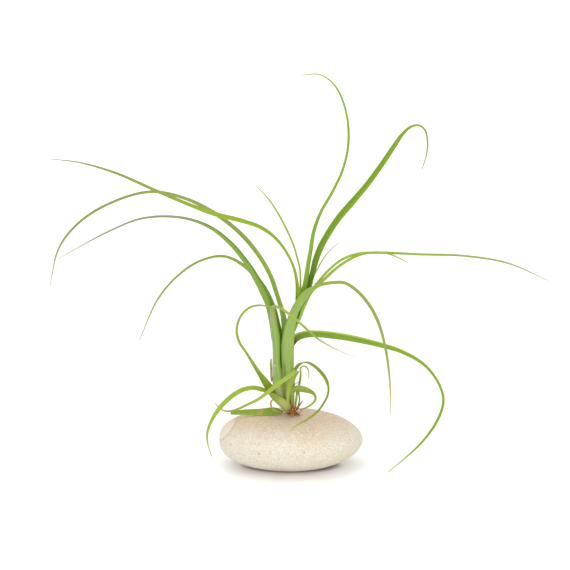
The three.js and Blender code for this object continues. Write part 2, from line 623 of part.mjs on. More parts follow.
// Root wires run out from the crown in turn, each a golden angle round from the last, and lie down.
function rootLines() {
  const [x, y] = ROOTS.crown;
  const goldenAngle = Math.PI * (3 - Math.sqrt(5));
  return Array.from({ length: ROOTS.count }, (_, k) => {
    const turn = k * goldenAngle;
    const reach = THREE.MathUtils.lerp(...ROOTS.reach, (k * 0.618) % 1);
    const [cos, sin] = [Math.cos(turn) * 0.9 + 0.25, Math.sin(turn) * 0.6];
    const top = 33.2 + (k % 3) * 0.8;
    return [
      [x, y, 33],
      [x + 2.6 * cos, y + 2.6 * sin, top],
      [x + 0.7 * reach * cos, y + 0.7 * reach * sin, top - 0.4],
      [x + reach * cos - sin, y + reach * sin + 0.6 * cos, 31.4],
    ];
  });
}
const twig = [[0.2, -8.4, 33], [2.5, -9, 34.2], [4.6, -9.8, 37.4], [6.4, -10.4, 40.6]];

function stemSolid(grow) {
  const thick = [STEM.crown, STEM.left, STEM.right].map((part) => taperedShape(part, 8, grow));
  const wires = [...rootLines(), twig].map((line) => {
    return taperedShape({ line, radius: [ROOTS.radius, ROOTS.radius, ROOTS.tip] }, 5, grow);
  });
  return wasm.Manifold.union([...thick, ...wires].map(solidOf));
}
addPart("stem_and_roots", tidied(stemSolid(0).subtract(pebbleSpace)), ROOT);

// ---- the leaves, each cut clear of the pebble, the stem and the leaves before it ----
const taken = [pebbleSpace, stemSolid(GAP)];
for (const leaf of LEAVES) {
  let solid = solidOf(leafShape(leaf));
  for (const space of taken) {
    if (boxesMeet(solid, space)) solid = solid.subtract(space);
  }
  addPart(leaf.name, tidied(solid), leaf.look);
  taken.push(solidOf(leafShape(leaf, GAP)));
}

export default group;
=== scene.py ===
# %% [markdown]
# # An air plant on a pebble
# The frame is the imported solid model: a pebble, a small woody stem with its roots, and one solid for each
# leaf. It says where everything is. This lesson grows the plant again over that frame, with smooth thin
# leaves, fine roots and a sandy stone, and then lights it like a picture taken on a white table.

import bpy
import bmesh
import math
import random
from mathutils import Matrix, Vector, noise


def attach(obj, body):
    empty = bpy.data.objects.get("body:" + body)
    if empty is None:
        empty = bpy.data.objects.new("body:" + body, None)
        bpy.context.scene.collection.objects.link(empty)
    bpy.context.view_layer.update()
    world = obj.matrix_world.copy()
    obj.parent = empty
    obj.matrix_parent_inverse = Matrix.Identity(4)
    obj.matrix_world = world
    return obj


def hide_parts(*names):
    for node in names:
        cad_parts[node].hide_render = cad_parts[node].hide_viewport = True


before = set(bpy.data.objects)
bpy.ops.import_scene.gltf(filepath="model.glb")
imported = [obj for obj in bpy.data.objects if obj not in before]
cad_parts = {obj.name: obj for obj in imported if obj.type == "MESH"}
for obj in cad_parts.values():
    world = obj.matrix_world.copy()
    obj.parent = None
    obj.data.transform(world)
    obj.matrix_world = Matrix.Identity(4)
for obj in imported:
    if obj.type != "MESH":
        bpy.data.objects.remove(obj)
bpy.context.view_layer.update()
bpy.ops.object.select_all(action="DESELECT")
MM = 0.001

# %% [markdown]
# Every operator acts on whatever is selected, so a small helper clears the selection and makes one new
# piece the active object. A second one applies a modifier, so the finished piece is plain mesh. A third
# smooths the shading of a piece, apart from its sharp edges.


# %% Helpers for a single piece
def pick(piece):
    bpy.ops.object.select_all(action="DESELECT")
    piece.select_set(True)
    bpy.context.view_layer.objects.active = piece


def finish_with(piece, kind, **settings):
    pick(piece)
    modifier = piece.modifiers.new(kind.lower(), kind)
    for key, value in settings.items():
        setattr(modifier, key, value)
    bpy.ops.object.modifier_apply(modifier=modifier.name)


def smooth(piece, angle=60):
    pick(piece)
    bpy.ops.object.shade_smooth_by_angle(angle=math.radians(angle))


print("helpers ready")

# %% [markdown]
# ## The line of a leaf
# A leaf of this plant is a long strip rolled into a channel. What gives each one its character is the line
# of its keel, the fold down its back. The points are in millimetres, from the root to the tip, and a smooth
# curve goes through them. Width, wrap and opening are stops along that line: how wide the channel is, how
# far round its section curls to each side in degrees, and which way the channel opens.


# %% A smooth curve through a few points
def smooth_line(points, spacing):
    """Points on a centripetal Catmull-Rom curve, spaced evenly, and the distance of each from the root."""
    p = [Vector(q) for q in points]
    p = [2 * p[0] - p[1]] + p + [2 * p[-1] - p[-2]]
    fine = []
    for a, b, c, d in zip(p, p[1:], p[2:], p[3:]):
        t1 = (b - a).length ** 0.5
        t2 = t1 + (c - b).length ** 0.5
        t3 = t2 + (d - c).length ** 0.5
        for k in range(24):
            t = t1 + (t2 - t1) * k / 24
            ab = a.lerp(b, t / t1)
            bc = b.lerp(c, (t - t1) / (t2 - t1))
            cd = c.lerp(d, (t - t2) / (t3 - t2))
            abc = ab.lerp(bc, t / t2)
            bcd = bc.lerp(cd, (t - t1) / (t3 - t1))
            fine.append(abc.lerp(bcd, (t - t1) / (t2 - t1)))
    fine.append(p[-2])
    run = [0.0]
    for a, b in zip(fine, fine[1:]):
        run.append(run[-1] + (b - a).length)
    count = max(8, round(run[-1] / spacing))
    line, place, k = [], [], 0
    for n in range(count + 1):
        d = run[-1] * n / count
        while k < len(run) - 2 and run[k + 1] < d:
            k += 1
        line.append(fine[k].lerp(fine[k + 1], (d - run[k]) / (run[k + 1] - run[k])))
        place.append(d)
    return line, place


def at(stops, d):
    """The number or direction at distance d in a list of (distance, value) stops."""
    if d <= stops[0][0]:
        return stops[0][1]
    for (d0, v0), (d1, v1) in zip(stops, stops[1:]):
        if d <= d1:
            t = (d - d0) / (d1 - d0)
            if isinstance(v0, tuple):
                return tuple(a + (b - a) * t for a, b in zip(v0, v1))
            return v0 + (v1 - v0) * t
    return stops[-1][1]


line, place = smooth_line([(0, 0, 0), (0, 0, 10), (5, 0, 20)], 2)
print("a trial line of", round(place[-1], 1), "mm in", len(line), "points")

# %% [markdown]
# ## One leaf
# A grid is the natural start: one side runs across the leaf and the other from root to tip, and its UV map
# keeps those two directions, so veins can follow the leaf later. Each row of the grid is moved onto the
# keel line and bent round into the channel. A Solidify modifier then gives the strip its thickness, less at
# the margins than at the keel, and puts the inner face in a material slot of its own, because the hollow
# side of a leaf is smoother and has fewer scales than its back, and on some leaves it is painted darker as
# shade inside the channel. One level of Subdivision rounds the rest, and the channel is drawn wider by the
# little that this rounding takes off its margins.

# %% Grow a leaf
BLADE = 0.6 * MM
ROUNDING = 0.16  # what the width gains, in millimetres, to make up for the rounding
TIP_SHARE = 0.15  # the last part of a leaf, where it gives that width up again
TIP_TRIM = 1.7  # how much of it, so that a tip ends a little leaner
TIP_THIN = 0.5  # how much thickness a blade loses on its way to the tip
WAVE_PITCH = 0.09  # how fast the width wavers along a leaf
LEAF_ACROSS = 8


def grow_leaf(name, line, width, wrap, opening, rim=0.45, spacing=1.8, wave=0.0, blade=BLADE):
    keel, place = smooth_line(line, spacing)
    rows = len(keel) - 1
    bpy.ops.object.select_all(action="DESELECT")
    bpy.ops.mesh.primitive_grid_add(x_subdivisions=LEAF_ACROSS, y_subdivisions=rows, size=2, calc_uvs=True)
    leaf = bpy.context.object
    leaf.name = leaf.data.name = name
    margin = leaf.vertex_groups.new(name="thickness")
    seed = sum(ord(c) for c in name)
    length = place[-1]
    sections = []
    for n, (point, d) in enumerate(zip(keel, place)):
        along = (keel[min(n + 1, rows)] - keel[max(n - 1, 0)]).normalized()
        into = Vector(at(opening, d))
        into = (into - along * into.dot(along)).normalized()
        half = math.radians(at(wrap, d))
        fuller = ROUNDING * (1 - TIP_TRIM * max(0, d / length - (1 - TIP_SHARE)) / TIP_SHARE)
        radius = (at(width, d) + fuller) / 2 / math.sin(min(half, math.pi / 2))
        radius *= 1 + wave * noise.noise(Vector((d * WAVE_PITCH, seed, 0.5)))
        sections.append((point, into, into.cross(along), radius, half))
    for v in leaf.data.vertices:
        n = round((v.co.y + 1) / 2 * rows)
        point, into, across, radius, half = sections[n]
        angle = v.co.x * half
        side = across * math.sin(angle) - into * math.cos(angle)
        full = 1 - (1 - rim) * abs(v.co.x) ** 2
        margin.add([v.index], full * (1 - TIP_THIN * (place[n] / length) ** 4), "REPLACE")
        v.co = (point + into * radius + side * radius) * MM
    finish_with(leaf, "SOLIDIFY", thickness=blade, offset=0, vertex_group="thickness", use_even_offset=True,
                material_offset=1, material_offset_rim=0, use_quality_normals=True)
    finish_with(leaf, "SUBSURF", levels=1, render_levels=1, uv_smooth="PRESERVE_BOUNDARIES")
    smooth(leaf, 70)
    return leaf


print("a leaf is a grid of", LEAF_ACROSS, "faces across and one row every 1.8 mm")

# %% [markdown]
# ## The leaves of the right shoot
# The sheath of the front leaf wraps the whole shoot and opens to the left as it turns into a blade. Inside
# it stands the sheath of the tall leaf, and the other blades come out of that crown one after the other.
# Two of them leave their solids a little: the long right leaf is slimmer just above the shoot, and the
# back right leaf starts about a millimetre lower, so that they show as two strips.

# %% Right shoot
RIGHT_SHOOT = {
    "right_leaf_front": dict(
        line=[(-0.8, -8.5, 35), (-1.8, -9.5, 38.8), (-2.4, -10.5, 43.6), (-2.2, -11, 49), (-1.8, -11, 55.4),
              (-2, -11, 63.6), (-2, -11.5, 72.2), (-1.4, -12, 79.2), (-0.2, -12.5, 85.4), (0.6, -12.5, 88.8),
              (1.6, -13, 92.4), (3.4, -14, 96), (5.4, -15, 99.6), (7.4, -16.5, 102.6), (9.2, -18, 105),
              (12.6, -20.5, 107.8), (15.2, -23, 109.8), (19, -26, 111.4), (23.2, -29.5, 112.6), (29, -33, 113),
              (37.8, -38, 107), (45.6, -43, 95.4), (50.4, -47, 78.4), (52.8, -49, 58), (52.8, -50, 44.4)],
        width=[(0, 3.4), (4, 4.2), (14, 5.4), (21, 6.3), (29, 6.9), (38, 6.9), (45, 6.4), (51, 5.6), (55, 4.9),
               (71, 4), (74, 3.6), (79, 2.3), (83, 1.8), (94, 1.7), (127, 1.6), (180, 0.5)],
        wrap=[(0, 100), (38, 95), (51, 85), (64, 65), (79, 45), (179, 30)],
        opening=[(58, (0, 1, 0)), (75, (0, 0.95, 0.2)), (93, (0, 0.95, 0.2)), (112, (0.1, 0.95, 0.1)),
                 (127, (0.2, 0.95, 0))],
    ),
    "right_leaf_long_right": dict(
        line=[(2, -9, 81), (2.8, -9.5, 83.8), (3.6, -10, 86.4), (4.8, -10.5, 89.6), (6, -11, 93.8),
              (7.8, -12, 98), (9.8, -13, 102), (12, -14, 106.2), (15, -16, 110.6), (20.2, -18.5, 117.2),
              (27.6, -21, 123.8), (36.2, -23.5, 127.4), (48, -26, 128.4), (69.2, -30, 128.2),
              (93.6, -33, 127.8), (116, -35, 124.2), (137.4, -36, 115)],
        width=[(0, 0.7), (3, 1.1), (9, 2.5), (14, 2.9), (18, 2.8), (23, 1.9), (28, 1.3), (42, 1.3), (74, 1.3),
               (167, 0.5)],
        wrap=[(0, 40), (9, 50), (23, 55), (42, 40), (167, 30)],
        opening=[(0, (-0.2, 1, 0)), (26, (-0.25, 0.95, 0.1)), (42, (-0.15, 0.95, 0.2)), (66, (0, 0.97, 0.15))],
    ),
    "right_leaf_tall": dict(
        line=[(4.2, -8.8, 88.5), (5, -9, 94), (6.2, -9.5, 99.4), (7, -10.5, 104.4), (8.2, -11.5, 110),
              (8.8, -12.5, 114.8), (9.6, -14, 121), (10.6, -16, 127.2), (12.2, -20, 138.6), (15.8, -23, 149.8),
              (22.2, -26, 161.8), (27.6, -28, 174.4), (30.2, -29, 187.8), (29, -29, 203.6), (23.4, -27, 217.4),
              (15.4, -24, 223.6), (5.4, -20, 223.2)],
        width=[(0, 1.8), (11, 2.5), (22, 2.6), (52, 2), (64, 1.5), (106, 1.2), (159, 0.5)],
        wrap=[(0, 60), (34, 50), (159, 30)],
        opening=[(0, (-0.1, 1, 0)), (40, (-0.3, 0.9, 0)), (116, (-0.3, 0.9, 0)), (137, (0, 0.9, -0.3)),
                 (159, (0, 0.9, -0.4))],
    ),
    "right_leaf_hooked": dict(
        line=[(5.4, -8.2, 91.5), (7.8, -7.5, 97.4), (8.8, -8, 101.6), (9.8, -8, 106), (11, -9, 110.6),
              (12.2, -10, 115), (13.4, -11.5, 120.6), (15.8, -14.5, 128.2), (19.4, -19, 136.2),
              (25.6, -25, 147), (32.8, -31, 156.6), (40.6, -37, 167.2), (47.8, -42, 178.4),
              (53.4, -45.5, 187.8), (57.2, -47.5, 194), (61.2, -49, 198), (65, -49, 199), (68.4, -49, 197),
              (70.2, -48, 190.2), (69.8, -46, 182.6), (67.8, -44, 175.2)],
        width=[(0, 0.9), (6, 1.1), (11, 1.5), (15, 1.9), (20, 2.7), (31, 3.5), (76, 3.7), (105, 3.1),
               (117, 2.6), (130, 1.3), (134, 1), (145, 1), (161, 0.5)],
        wrap=[(20, 60), (63, 50), (105, 45), (161, 30)],
        opening=[(0, (-0.3, -1, 0)), (46, (-0.4, -0.9, 0.1)), (90, (-0.5, -0.8, 0.3)), (116, (-0.3, -0.8, 0.5)),
                 (130, (0.1, -0.8, 0.6)), (138, (0.5, -0.8, 0.3)), (161, (0.5, -0.9, 0))],
    ),
    "right_leaf_far_left": dict(
        line=[(2.8, -8, 90), (3.2, -8.5, 95.2), (3.4, -9, 100.4), (3.4, -9.5, 104.8), (3, -10.5, 109.4),
              (2, -11.5, 115.2), (0.2, -12.5, 120.8), (-4.6, -14.5, 129.6), (-10.2, -16.5, 136.2),
              (-17.8, -19, 141.6), (-30, -22.5, 146), (-41.6, -25.5, 149.4), (-54.2, -28.5, 154.6),
              (-71.2, -33, 162.6), (-92.8, -39, 173.2), (-111.4, -43, 179.2), (-127.6, -46, 181.4)],
        width=[(0, 1.7), (10, 2.5), (15, 2.3), (20, 1.7), (32, 1.2), (42, 1.4), (60, 2.2), (74, 2.6), (86, 2.6),
               (100, 2), (144, 1.3), (164, 0.7), (181, 0.5)],
        wrap=[(0, 55), (25, 45), (181, 30)],
        opening=[(0, (0.3, -1, 0)), (31, (0.4, -0.9, 0)), (50, (0.2, -0.8, 0.5)), (74, (0, -0.8, 0.6))],
    ),
    "right_leaf_high_arch": dict(
        line=[(-0.6, -5, 36.8), (-1, -4.5, 40.8), (-1.4, -4.5, 48.4), (-1.8, -4, 60), (-2.2, -4, 70.4),
              (-3.2, -3.5, 79.4), (-4.8, -2, 89), (-7.8, 1, 98.6), (-12.4, 6, 111), (-20.8, 11, 123.8),
              (-30.8, 16, 134), (-44.8, 20, 144), (-61, 24, 151.4), (-80.4, 28, 154.6), (-103, 31, 148.2),
              (-122.2, 33, 136.6), (-135, 34, 121.2), (-141.4, 34, 97.4)],
        width=[(0, 2.3), (4, 4), (12, 5.1), (23, 5.1), (34, 4.8), (53, 2.9), (63, 2.7), (126, 2.4), (145, 1.9),
               (165, 1.6), (231, 1.3), (256, 0.5)],
        wrap=[(0, 80), (34, 75), (48, 60), (63, 45), (256, 30)],
        opening=[(42, (0, -1, 0)), (60, (0.5, -0.8, 0.2)), (100, (0.2, -0.8, 0.6)), (180, (0, -0.8, 0.6)),
                 (231, (-0.5, -0.8, 0.3)), (256, (-0.7, -0.7, 0))],
    ),
    "right_leaf_drooping": dict(
        line=[(0.8, -6.5, 72), (1.8, -5.5, 74.2), (3.4, -4.5, 75.8), (6.4, -3, 77), (10, -1.5, 77.4),
              (15.2, 0, 77.2), (23.6, 1, 76.2), (33.2, 1, 74.8), (47.8, -3, 72.4), (62.2, -8, 69),
              (74.4, -14, 62.8), (81.8, -20, 53.8), (84, -25, 45.4), (80.2, -30, 35.4), (70.8, -35, 23.8),
              (52.6, -42, 9.6)],
        width=[(0, 2.6), (3, 3.8), (5, 4.8), (9, 4.2), (13, 4), (27, 4), (82, 1.6), (95, 1.3), (117, 1.6),
               (157, 0.5)],
        wrap=[(0, 70), (13, 55), (50, 40), (157, 30)],
        opening=[(0, (-0.2, -0.5, 0.9)), (9, (0, -0.8, 0.6)), (40, (0, -0.95, 0.3)), (82, (0.2, -0.9, 0.3)),
                 (95, (0.3, -0.9, 0.2)), (123, (0.3, -0.9, 0)), (157, (0.2, -0.9, -0.1))],
    ),
    "right_leaf_back_right": dict(
        line=[(5.2, -8, 91.5), (8, -6.5, 97.3), (10.3, -4.5, 100.9), (12.9, -1.5, 103.9), (15.4, 2, 105.6),
              (18.1, 5, 107.3), (25.3, 16, 111.7), (35.2, 31, 115.3), (46.2, 46, 116), (58.6, 61, 113),
              (72.4, 74, 105)],
        width=[(0, 1), (17, 1.7), (21, 1.7), (77, 1.2), (117, 0.5)], wrap=[(0, 50), (26, 45), (117, 30)],
        opening=[(0, (-0.2, -1, 0)), (31, (-0.1, -1, 0.3)), (117, (0, -0.9, 0.4))],
    ),
    "right_leaf_thin_back": dict(
        line=[(4.4, -7.6, 91.5), (5, -6.5, 97.2), (5.2, -4, 102.4), (5.2, -1, 108), (5, 3, 113.6),
              (3.6, 8, 119), (1.4, 14, 125.8), (-2.6, 22, 133.8), (-7, 30, 141), (-13, 38, 149),
              (-20.6, 44, 156.4)],
        width=[(0, 0.7), (6, 0.9), (25, 0.8), (54, 1), (65, 1), (90, 0.5)], wrap=[(0, 50), (90, 30)],
        opening=[(0, (0.2, -1, 0)), (90, (0.3, -0.7, 0.6))],
    ),
    "right_leaf_short_back": dict(
        line=[(5, -6.8, 92), (8.6, -5, 96.8), (10.2, -2.5, 101.6), (11.4, 1, 105.4), (12.6, 6, 109),
              (15.2, 18, 111.4), (19.2, 36, 114.6), (24, 56, 116.4), (31, 80, 117.4)],
        width=[(0, 0.7), (12, 1.1), (17, 1.1), (24, 0.8), (36, 0.6), (100, 0.5)], wrap=[(0, 50), (100, 30)],
        opening=[(0, (-0.3, -0.9, 0.2)), (35, (0, -0.6, 0.8)), (100, (0, -0.5, 0.9))],
    ),
}
print("right shoot:", len(RIGHT_SHOOT), "leaves")

# %% [markdown]
# ## The leaves of the left shoot
# The left shoot is shorter. Its front leaf folds over at the top like a hood, and the two leaves behind it
# arch to the left. The low arch is the back wall of this shoot, open to the front.

# %% Left shoot
LEFT_SHOOT = {
    "left_leaf_front": dict(
        line=[(-3, -8.5, 36.8), (-4.4, -9, 39.2), (-6, -10, 42.6), (-7.2, -10, 46.8), (-7.6, -10, 51.6),
              (-7.8, -10, 56.4), (-8.4, -10, 61), (-8.6, -10, 66.2), (-8.8, -10, 71.8), (-9.2, -10, 77.6),
              (-10, -10, 84), (-10.4, -10.5, 89.2), (-10.6, -11.5, 92.8), (-10.4, -13, 95.2), (-9, -15.5, 96.2),
              (-6.2, -19.5, 96.4), (-2.2, -24.5, 94.8), (4.6, -32, 90.8), (10.8, -39.5, 86.6),
              (15.4, -44.5, 84), (24.8, -52.5, 80.6), (34.4, -60, 78.2)],
        width=[(0, 2), (7, 4.6), (11, 5.5), (16, 6), (21, 5.4), (25, 4.2), (31, 4), (42, 4.4), (48, 3.9),
               (60, 2.5), (63, 2.4), (68, 1.7), (75, 1.4), (96, 1.2), (116, 0.6), (129, 0.5)],
        wrap=[(0, 95), (42, 90), (54, 80), (60, 60), (68, 40), (129, 30)],
        opening=[(0, (0, 1, 0)), (24, (0.1, 1, 0)), (38, (0.3, 0.95, 0)), (48, (0.3, 0.95, 0.1)),
                 (57, (0.2, 0.9, 0.3)), (62, (0.1, 0.9, 0.35)), (72, (0.1, 0.95, 0.2)),
                 (129, (0.2, 0.95, 0.1))],
    ),
    "left_leaf_broad_arch": dict(
        line=[(-9.8, -8, 75.6), (-10.6, -8.5, 84.8), (-12.2, -10, 94.8), (-15.2, -12, 103.2),
              (-19, -14.5, 111.2), (-24.8, -18, 121.6), (-33.4, -22.5, 133.2), (-44.6, -28, 143),
              (-59.2, -34, 148.8), (-78.8, -40, 149.2), (-97.4, -45, 142.4), (-122.2, -50, 129.4)],
        width=[(0, 2.9), (9, 3.8), (19, 4.5), (29, 4.8), (38, 3.9), (50, 3.1), (98, 1.2), (139, 0.6),
               (168, 0.5)],
        wrap=[(0, 60), (20, 50), (60, 40), (168, 30)],
        opening=[(0, (0.3, 0.95, 0)), (25, (0.3, 0.95, 0.1)), (60, (0.1, 0.95, 0.25)), (168, (0, 0.95, 0.25))],
    ),
    "left_leaf_low_arch": dict(
        line=[(-4.4, -5, 38), (-6.4, -5, 42), (-7, -4.5, 47.2), (-7, -4.5, 59.4), (-7, -4.5, 70.4),
              (-7.4, -4, 78), (-8.4, -4, 84), (-9.6, -3, 89.8), (-11.8, -1.5, 96.4), (-16.8, 2, 105.4),
              (-25.4, 7, 114.2), (-37.4, 12.5, 119.6), (-50.6, 18.5, 116.6), (-64.8, 26, 106.6),
              (-78, 33, 90.6), (-90.4, 42, 63.6)],
        width=[(0, 2.3), (4, 4), (10, 5.1), (33, 5.4), (41, 5.3), (47, 4.5), (60, 3.4), (71, 3.1), (84, 2.1),
               (98, 1.5), (154, 1), (185, 0.5)],
        wrap=[(41, 80), (56, 55), (71, 40), (185, 30)],
        opening=[(50, (0, -1, 0)), (70, (0.3, -0.8, 0.5)), (98, (0, -0.8, 0.6)), (132, (-0.4, -0.8, 0.5)),
                 (185, (-0.6, -0.8, 0.2))],
    ),
}
print("left shoot:", len(LEFT_SHOOT), "leaves")

# %% [markdown]
# ## The old leaves round the base
# Short curled leaves grow out just over the roots. One is cut off blunt and lies along the stone, one runs
# across the front of both shoots, and a hoop and a small hook stand at the right. Two dry scraps of older
# leaves are still there too.

# %% Base leaves and dry scraps
BASE_LEAVES = {
    "base_leaf_across": dict(
        line=[(-1.4, -10.5, 35.4), (-2, -11.5, 38.8), (-1.8, -12, 42), (-1.8, -13, 45.2), (-1.2, -13.5, 48.2),
              (-0.6, -14, 51.6), (0.4, -15, 54.6), (1.8, -16, 57.4), (3.2, -17, 59.6), (3, -19, 60.8),
              (0.8, -21, 59.8), (-2.8, -22, 57.2), (-6.6, -23, 54.8), (-10.6, -23, 51.6), (-14.4, -23.5, 48.6),
              (-18.8, -23.5, 45.4), (-23.8, -23, 42.8), (-30.4, -22.5, 39.6), (-35.4, -22, 38.4),
              (-39.4, -21, 39.4), (-42.4, -20, 42.8)],
        width=[(0, 2), (7, 1.9), (10, 2), (13, 3), (17, 3.6), (20, 3.6), (23, 3), (26, 2.2), (29, 3.2),
               (32, 2.1), (46, 2.2), (56, 1.5), (84, 0.5)],
        wrap=[(0, 60), (20, 65), (26, 50), (32, 35), (84, 30)],
        opening=[(0, (0, 1, 0)), (23, (0, 1, 0.2)), (28, (0.3, 0.5, 0.8)), (33, (0.4, -0.7, 0.6)),
                 (84, (0.4, -0.8, 0.5))],
    ),
    "base_leaf_left_arch": dict(
        line=[(-2.4, -9.5, 34.4), (-3.2, -11.5, 37), (-4.6, -12.5, 39.2), (-7, -13, 41.4), (-9.4, -13.5, 43.4),
              (-12.6, -14, 46.4), (-16.2, -15, 48.8), (-20, -16.5, 50.4), (-25, -19, 50.6),
              (-30.2, -22.5, 49.2), (-35.8, -26.5, 45.6), (-41, -30.5, 40.4), (-43.8, -33.5, 36),
              (-45.6, -36, 31.6), (-46, -37.5, 27.8), (-45.2, -39, 23.4), (-43.4, -40, 18)],
        width=[(0, 5.3), (3, 6.6), (6, 6.4), (13, 4.5), (17, 4.1), (22, 2.6), (26, 2.3), (46, 2.6), (54, 2.2),
               (74, 0.6), (80, 0.5)],
        wrap=[(0, 70), (9, 60), (22, 40), (80, 30)],
        opening=[(0, (0.2, 0.95, 0.1)), (9, (0.3, 0.9, 0.2)), (14, (0.3, 0.9, 0.5)), (18, (0.2, 0, 1)),
                 (23, (0.2, -0.9, 0.4)), (50, (-0.2, -0.95, 0.2)), (66, (-0.4, -0.9, 0.1)),
                 (80, (-0.4, -0.9, 0))],
    ),
    "base_leaf_curled": dict(
        line=[(0.8, -10, 35.6), (0.8, -11, 39.4), (0.6, -12, 43.2), (0.6, -13, 46.4), (1.4, -14, 48.8),
              (3.4, -15.5, 49.6), (6.4, -16.5, 49.6), (9.2, -17, 49), (11.8, -16.5, 47.8), (13.4, -16, 45.8),
              (13.8, -15, 43.4), (12.2, -14, 40.8), (10, -12.5, 38.6), (7.6, -11, 37), (5, -10, 35.6)],
        width=[(0, 1), (4, 1.5), (8, 2.2), (11, 2.5), (17, 3.7), (20, 3.5), (23, 2.9), (28, 1.3), (31, 1.1),
               (38, 1.1), (44, 0.8)],
        wrap=[(0, 50), (11, 40), (20, 30)],
        opening=[(20, (0, 1, 0)), (26, (-0.1, 0.95, -0.2)), (31, (-0.3, 0.95, 0)), (38, (-0.2, 0.95, 0.2)),
                 (44, (-0.2, 0.95, 0.3))],
    ),
    "base_leaf_left_loop": dict(
        line=[(-8, -7.5, 41.8), (-9.2, -8, 44), (-10.8, -9, 46.4), (-12.8, -10.5, 49.2), (-14.6, -12.5, 52.4),
              (-16.4, -14.5, 55.8), (-18.6, -17, 60), (-22.2, -19.5, 66.8), (-25.6, -21, 72.8),
              (-28.6, -22, 77.8), (-30, -23, 85.4), (-27.4, -22.5, 93.2), (-22.8, -21, 97.2), (-17.4, -19, 98),
              (-11.4, -16.5, 96.6)],
        width=[(0, 2.3), (3, 3.5), (6, 4.3), (9, 4.7), (14, 4.1), (18, 3.2), (23, 2.2), (31, 1.6), (38, 1.2),
               (73, 1.1), (79, 0.9)],
        wrap=[(9, 60), (22, 45), (76, 30)],
        opening=[(0, (0.2, -1, 0.3)), (18, (0.3, -1, 0.3)), (39, (0.4, -0.9, 0.1)), (52, (0.3, -0.95, 0)),
                 (67, (0, -0.95, -0.2))],
    ),
    "base_leaf_cut": dict(
        line=[(-4.6, -7, 33), (-7, -6.5, 33.6), (-10.4, -5.5, 33.6), (-14.2, -4.5, 33), (-18.6, -3.5, 32.6),
              (-25.6, -1.5, 32), (-34.6, 0.5, 31)],
        width=[(0, 1.7), (3, 3.4), (6, 4.7), (15, 3.5), (31, 2.4)], wrap=[(0, 50), (31, 35)],
        opening=[(0, (0.3, -0.9, 0.4)), (31, (0, -0.9, 0.4))],
    ),
    "base_leaf_hoop": dict(
        line=[(1, -9.5, 36.8), (1.2, -10, 41.2), (1, -11, 47.2), (1.2, -11.5, 53.2), (1.6, -11.5, 57.2),
              (2.4, -11.5, 60), (4, -11.5, 62), (6.2, -11.5, 63.4), (9.2, -12, 63.8), (12.8, -13.5, 62.2),
              (16.6, -16, 59.2), (19.4, -18.5, 55.6), (20.6, -21.5, 51.6), (20.2, -24, 48.6), (18, -27, 44.8),
              (14, -30, 40.2), (8, -32, 36.2), (1.8, -32.5, 32.6), (-0.8, -32, 29.8)],
        width=[(0, 1.1), (11, 1.6), (29, 2), (32, 1.4), (36, 1.5), (41, 1.8), (47, 1.8), (52, 1.1), (75, 1),
               (87, 0.5)],
        wrap=[(0, 45), (87, 35)],
        opening=[(0, (-0.2, 1, 0)), (20, (-0.1, 1, 0.1)), (26, (0, 0.95, 0.3)), (30, (0, 0, 1)),
                 (34, (0.1, -0.9, 0.4)), (47, (0.3, -0.95, 0.1)), (62, (0.3, -0.95, 0)),
                 (87, (0, -0.95, -0.2))],
    ),
    "base_leaf_small_hook": dict(
        line=[(3.2, -7.5, 35.8), (4.4, -8.5, 38.8), (4.8, -9, 42), (4.2, -9.5, 46), (4.4, -9.5, 49.8),
              (5.2, -9.5, 54.2), (5.4, -9.5, 57.8), (5, -9.5, 59.8), (6, -9.5, 61), (7.6, -9.5, 61.4),
              (9.2, -10, 60), (10, -10.5, 57.6), (9.8, -11, 54.4)],
        width=[(11, 0.7), (15, 1.1), (19, 1), (23, 0.7), (25, 0.8), (36, 0.5)], wrap=[(0, 40), (36, 30)],
        opening=[(0, (0, -1, 0)), (23, (0, -1, 0.1)), (36, (0.3, -1, 0))],
    ),
    "base_leaf_stub": dict(
        line=[(2.4, -8, 36), (2.6, -9, 39.2), (3, -10, 42.4), (3.2, -10.5, 45.4), (3.2, -11.5, 48.4)],
        width=[(0, 0.7), (7, 1.1), (10, 1.1), (13, 0.8)], wrap=[(13, 40)], opening=[(13, (0.2, 1, 0))],
    ),
}

DRY_SCRAPS = {
    "base_strand": dict(
        line=[(-5.2, -11, 34.6), (-6.8, -12, 35), (-8.8, -12.5, 36), (-10.6, -13, 37.6), (-11.4, -13, 39.6),
              (-11.4, -13, 41.4), (-10.4, -12.5, 42.4)],
        width=[(0, 0.6), (7, 0.7), (11, 1.1), (12, 0.9)], wrap=[(12, 30)],
        opening=[(0, (0, -1, 0.4)), (12, (0, -1, 0))],
    ),
    "dry_leaf_edge": dict(
        line=[(-10.8, -7.5, 51.6), (-11.2, -7.5, 55), (-11.2, -7.5, 58.6), (-11.4, -7.5, 61.8),
              (-11.2, -7.5, 65)],
        width=[(0, 0.9), (10, 1.2), (13, 0.8)], wrap=[(0, 40), (13, 30)], opening=[(13, (0, 1, 0))],
    ),
}
print("base leaves:", len(BASE_LEAVES), "and dry scraps:", len(DRY_SCRAPS))

# %% [markdown]
# ## Colour and surface of a leaf
# Each leaf carries its own UV map, across and along, so a noise that is squeezed across and drawn out along
# the leaf reads as the fine parallel veins. On top of that come slow patches of darker green, a paler
# margin, and on the sheaths a dust of silvery scales. The colour also changes from root to tip: tan or rusty
# where a leaf leaves the crown, straw or grey-brown where its tip has dried. Those changes are a colour ramp
# along the leaf, whose alpha says how much of each tint there is. A folded sheath can have another green
# beyond its crease, and strokes are soft patches of paint on one spot, such as a shaded edge.


# %% Small helpers for node materials
def new_material(name):
    material = bpy.data.materials.new(name)
    material.use_nodes = True
    tree = material.node_tree
    shader = tree.nodes["Principled BSDF"]
    return material, tree, shader


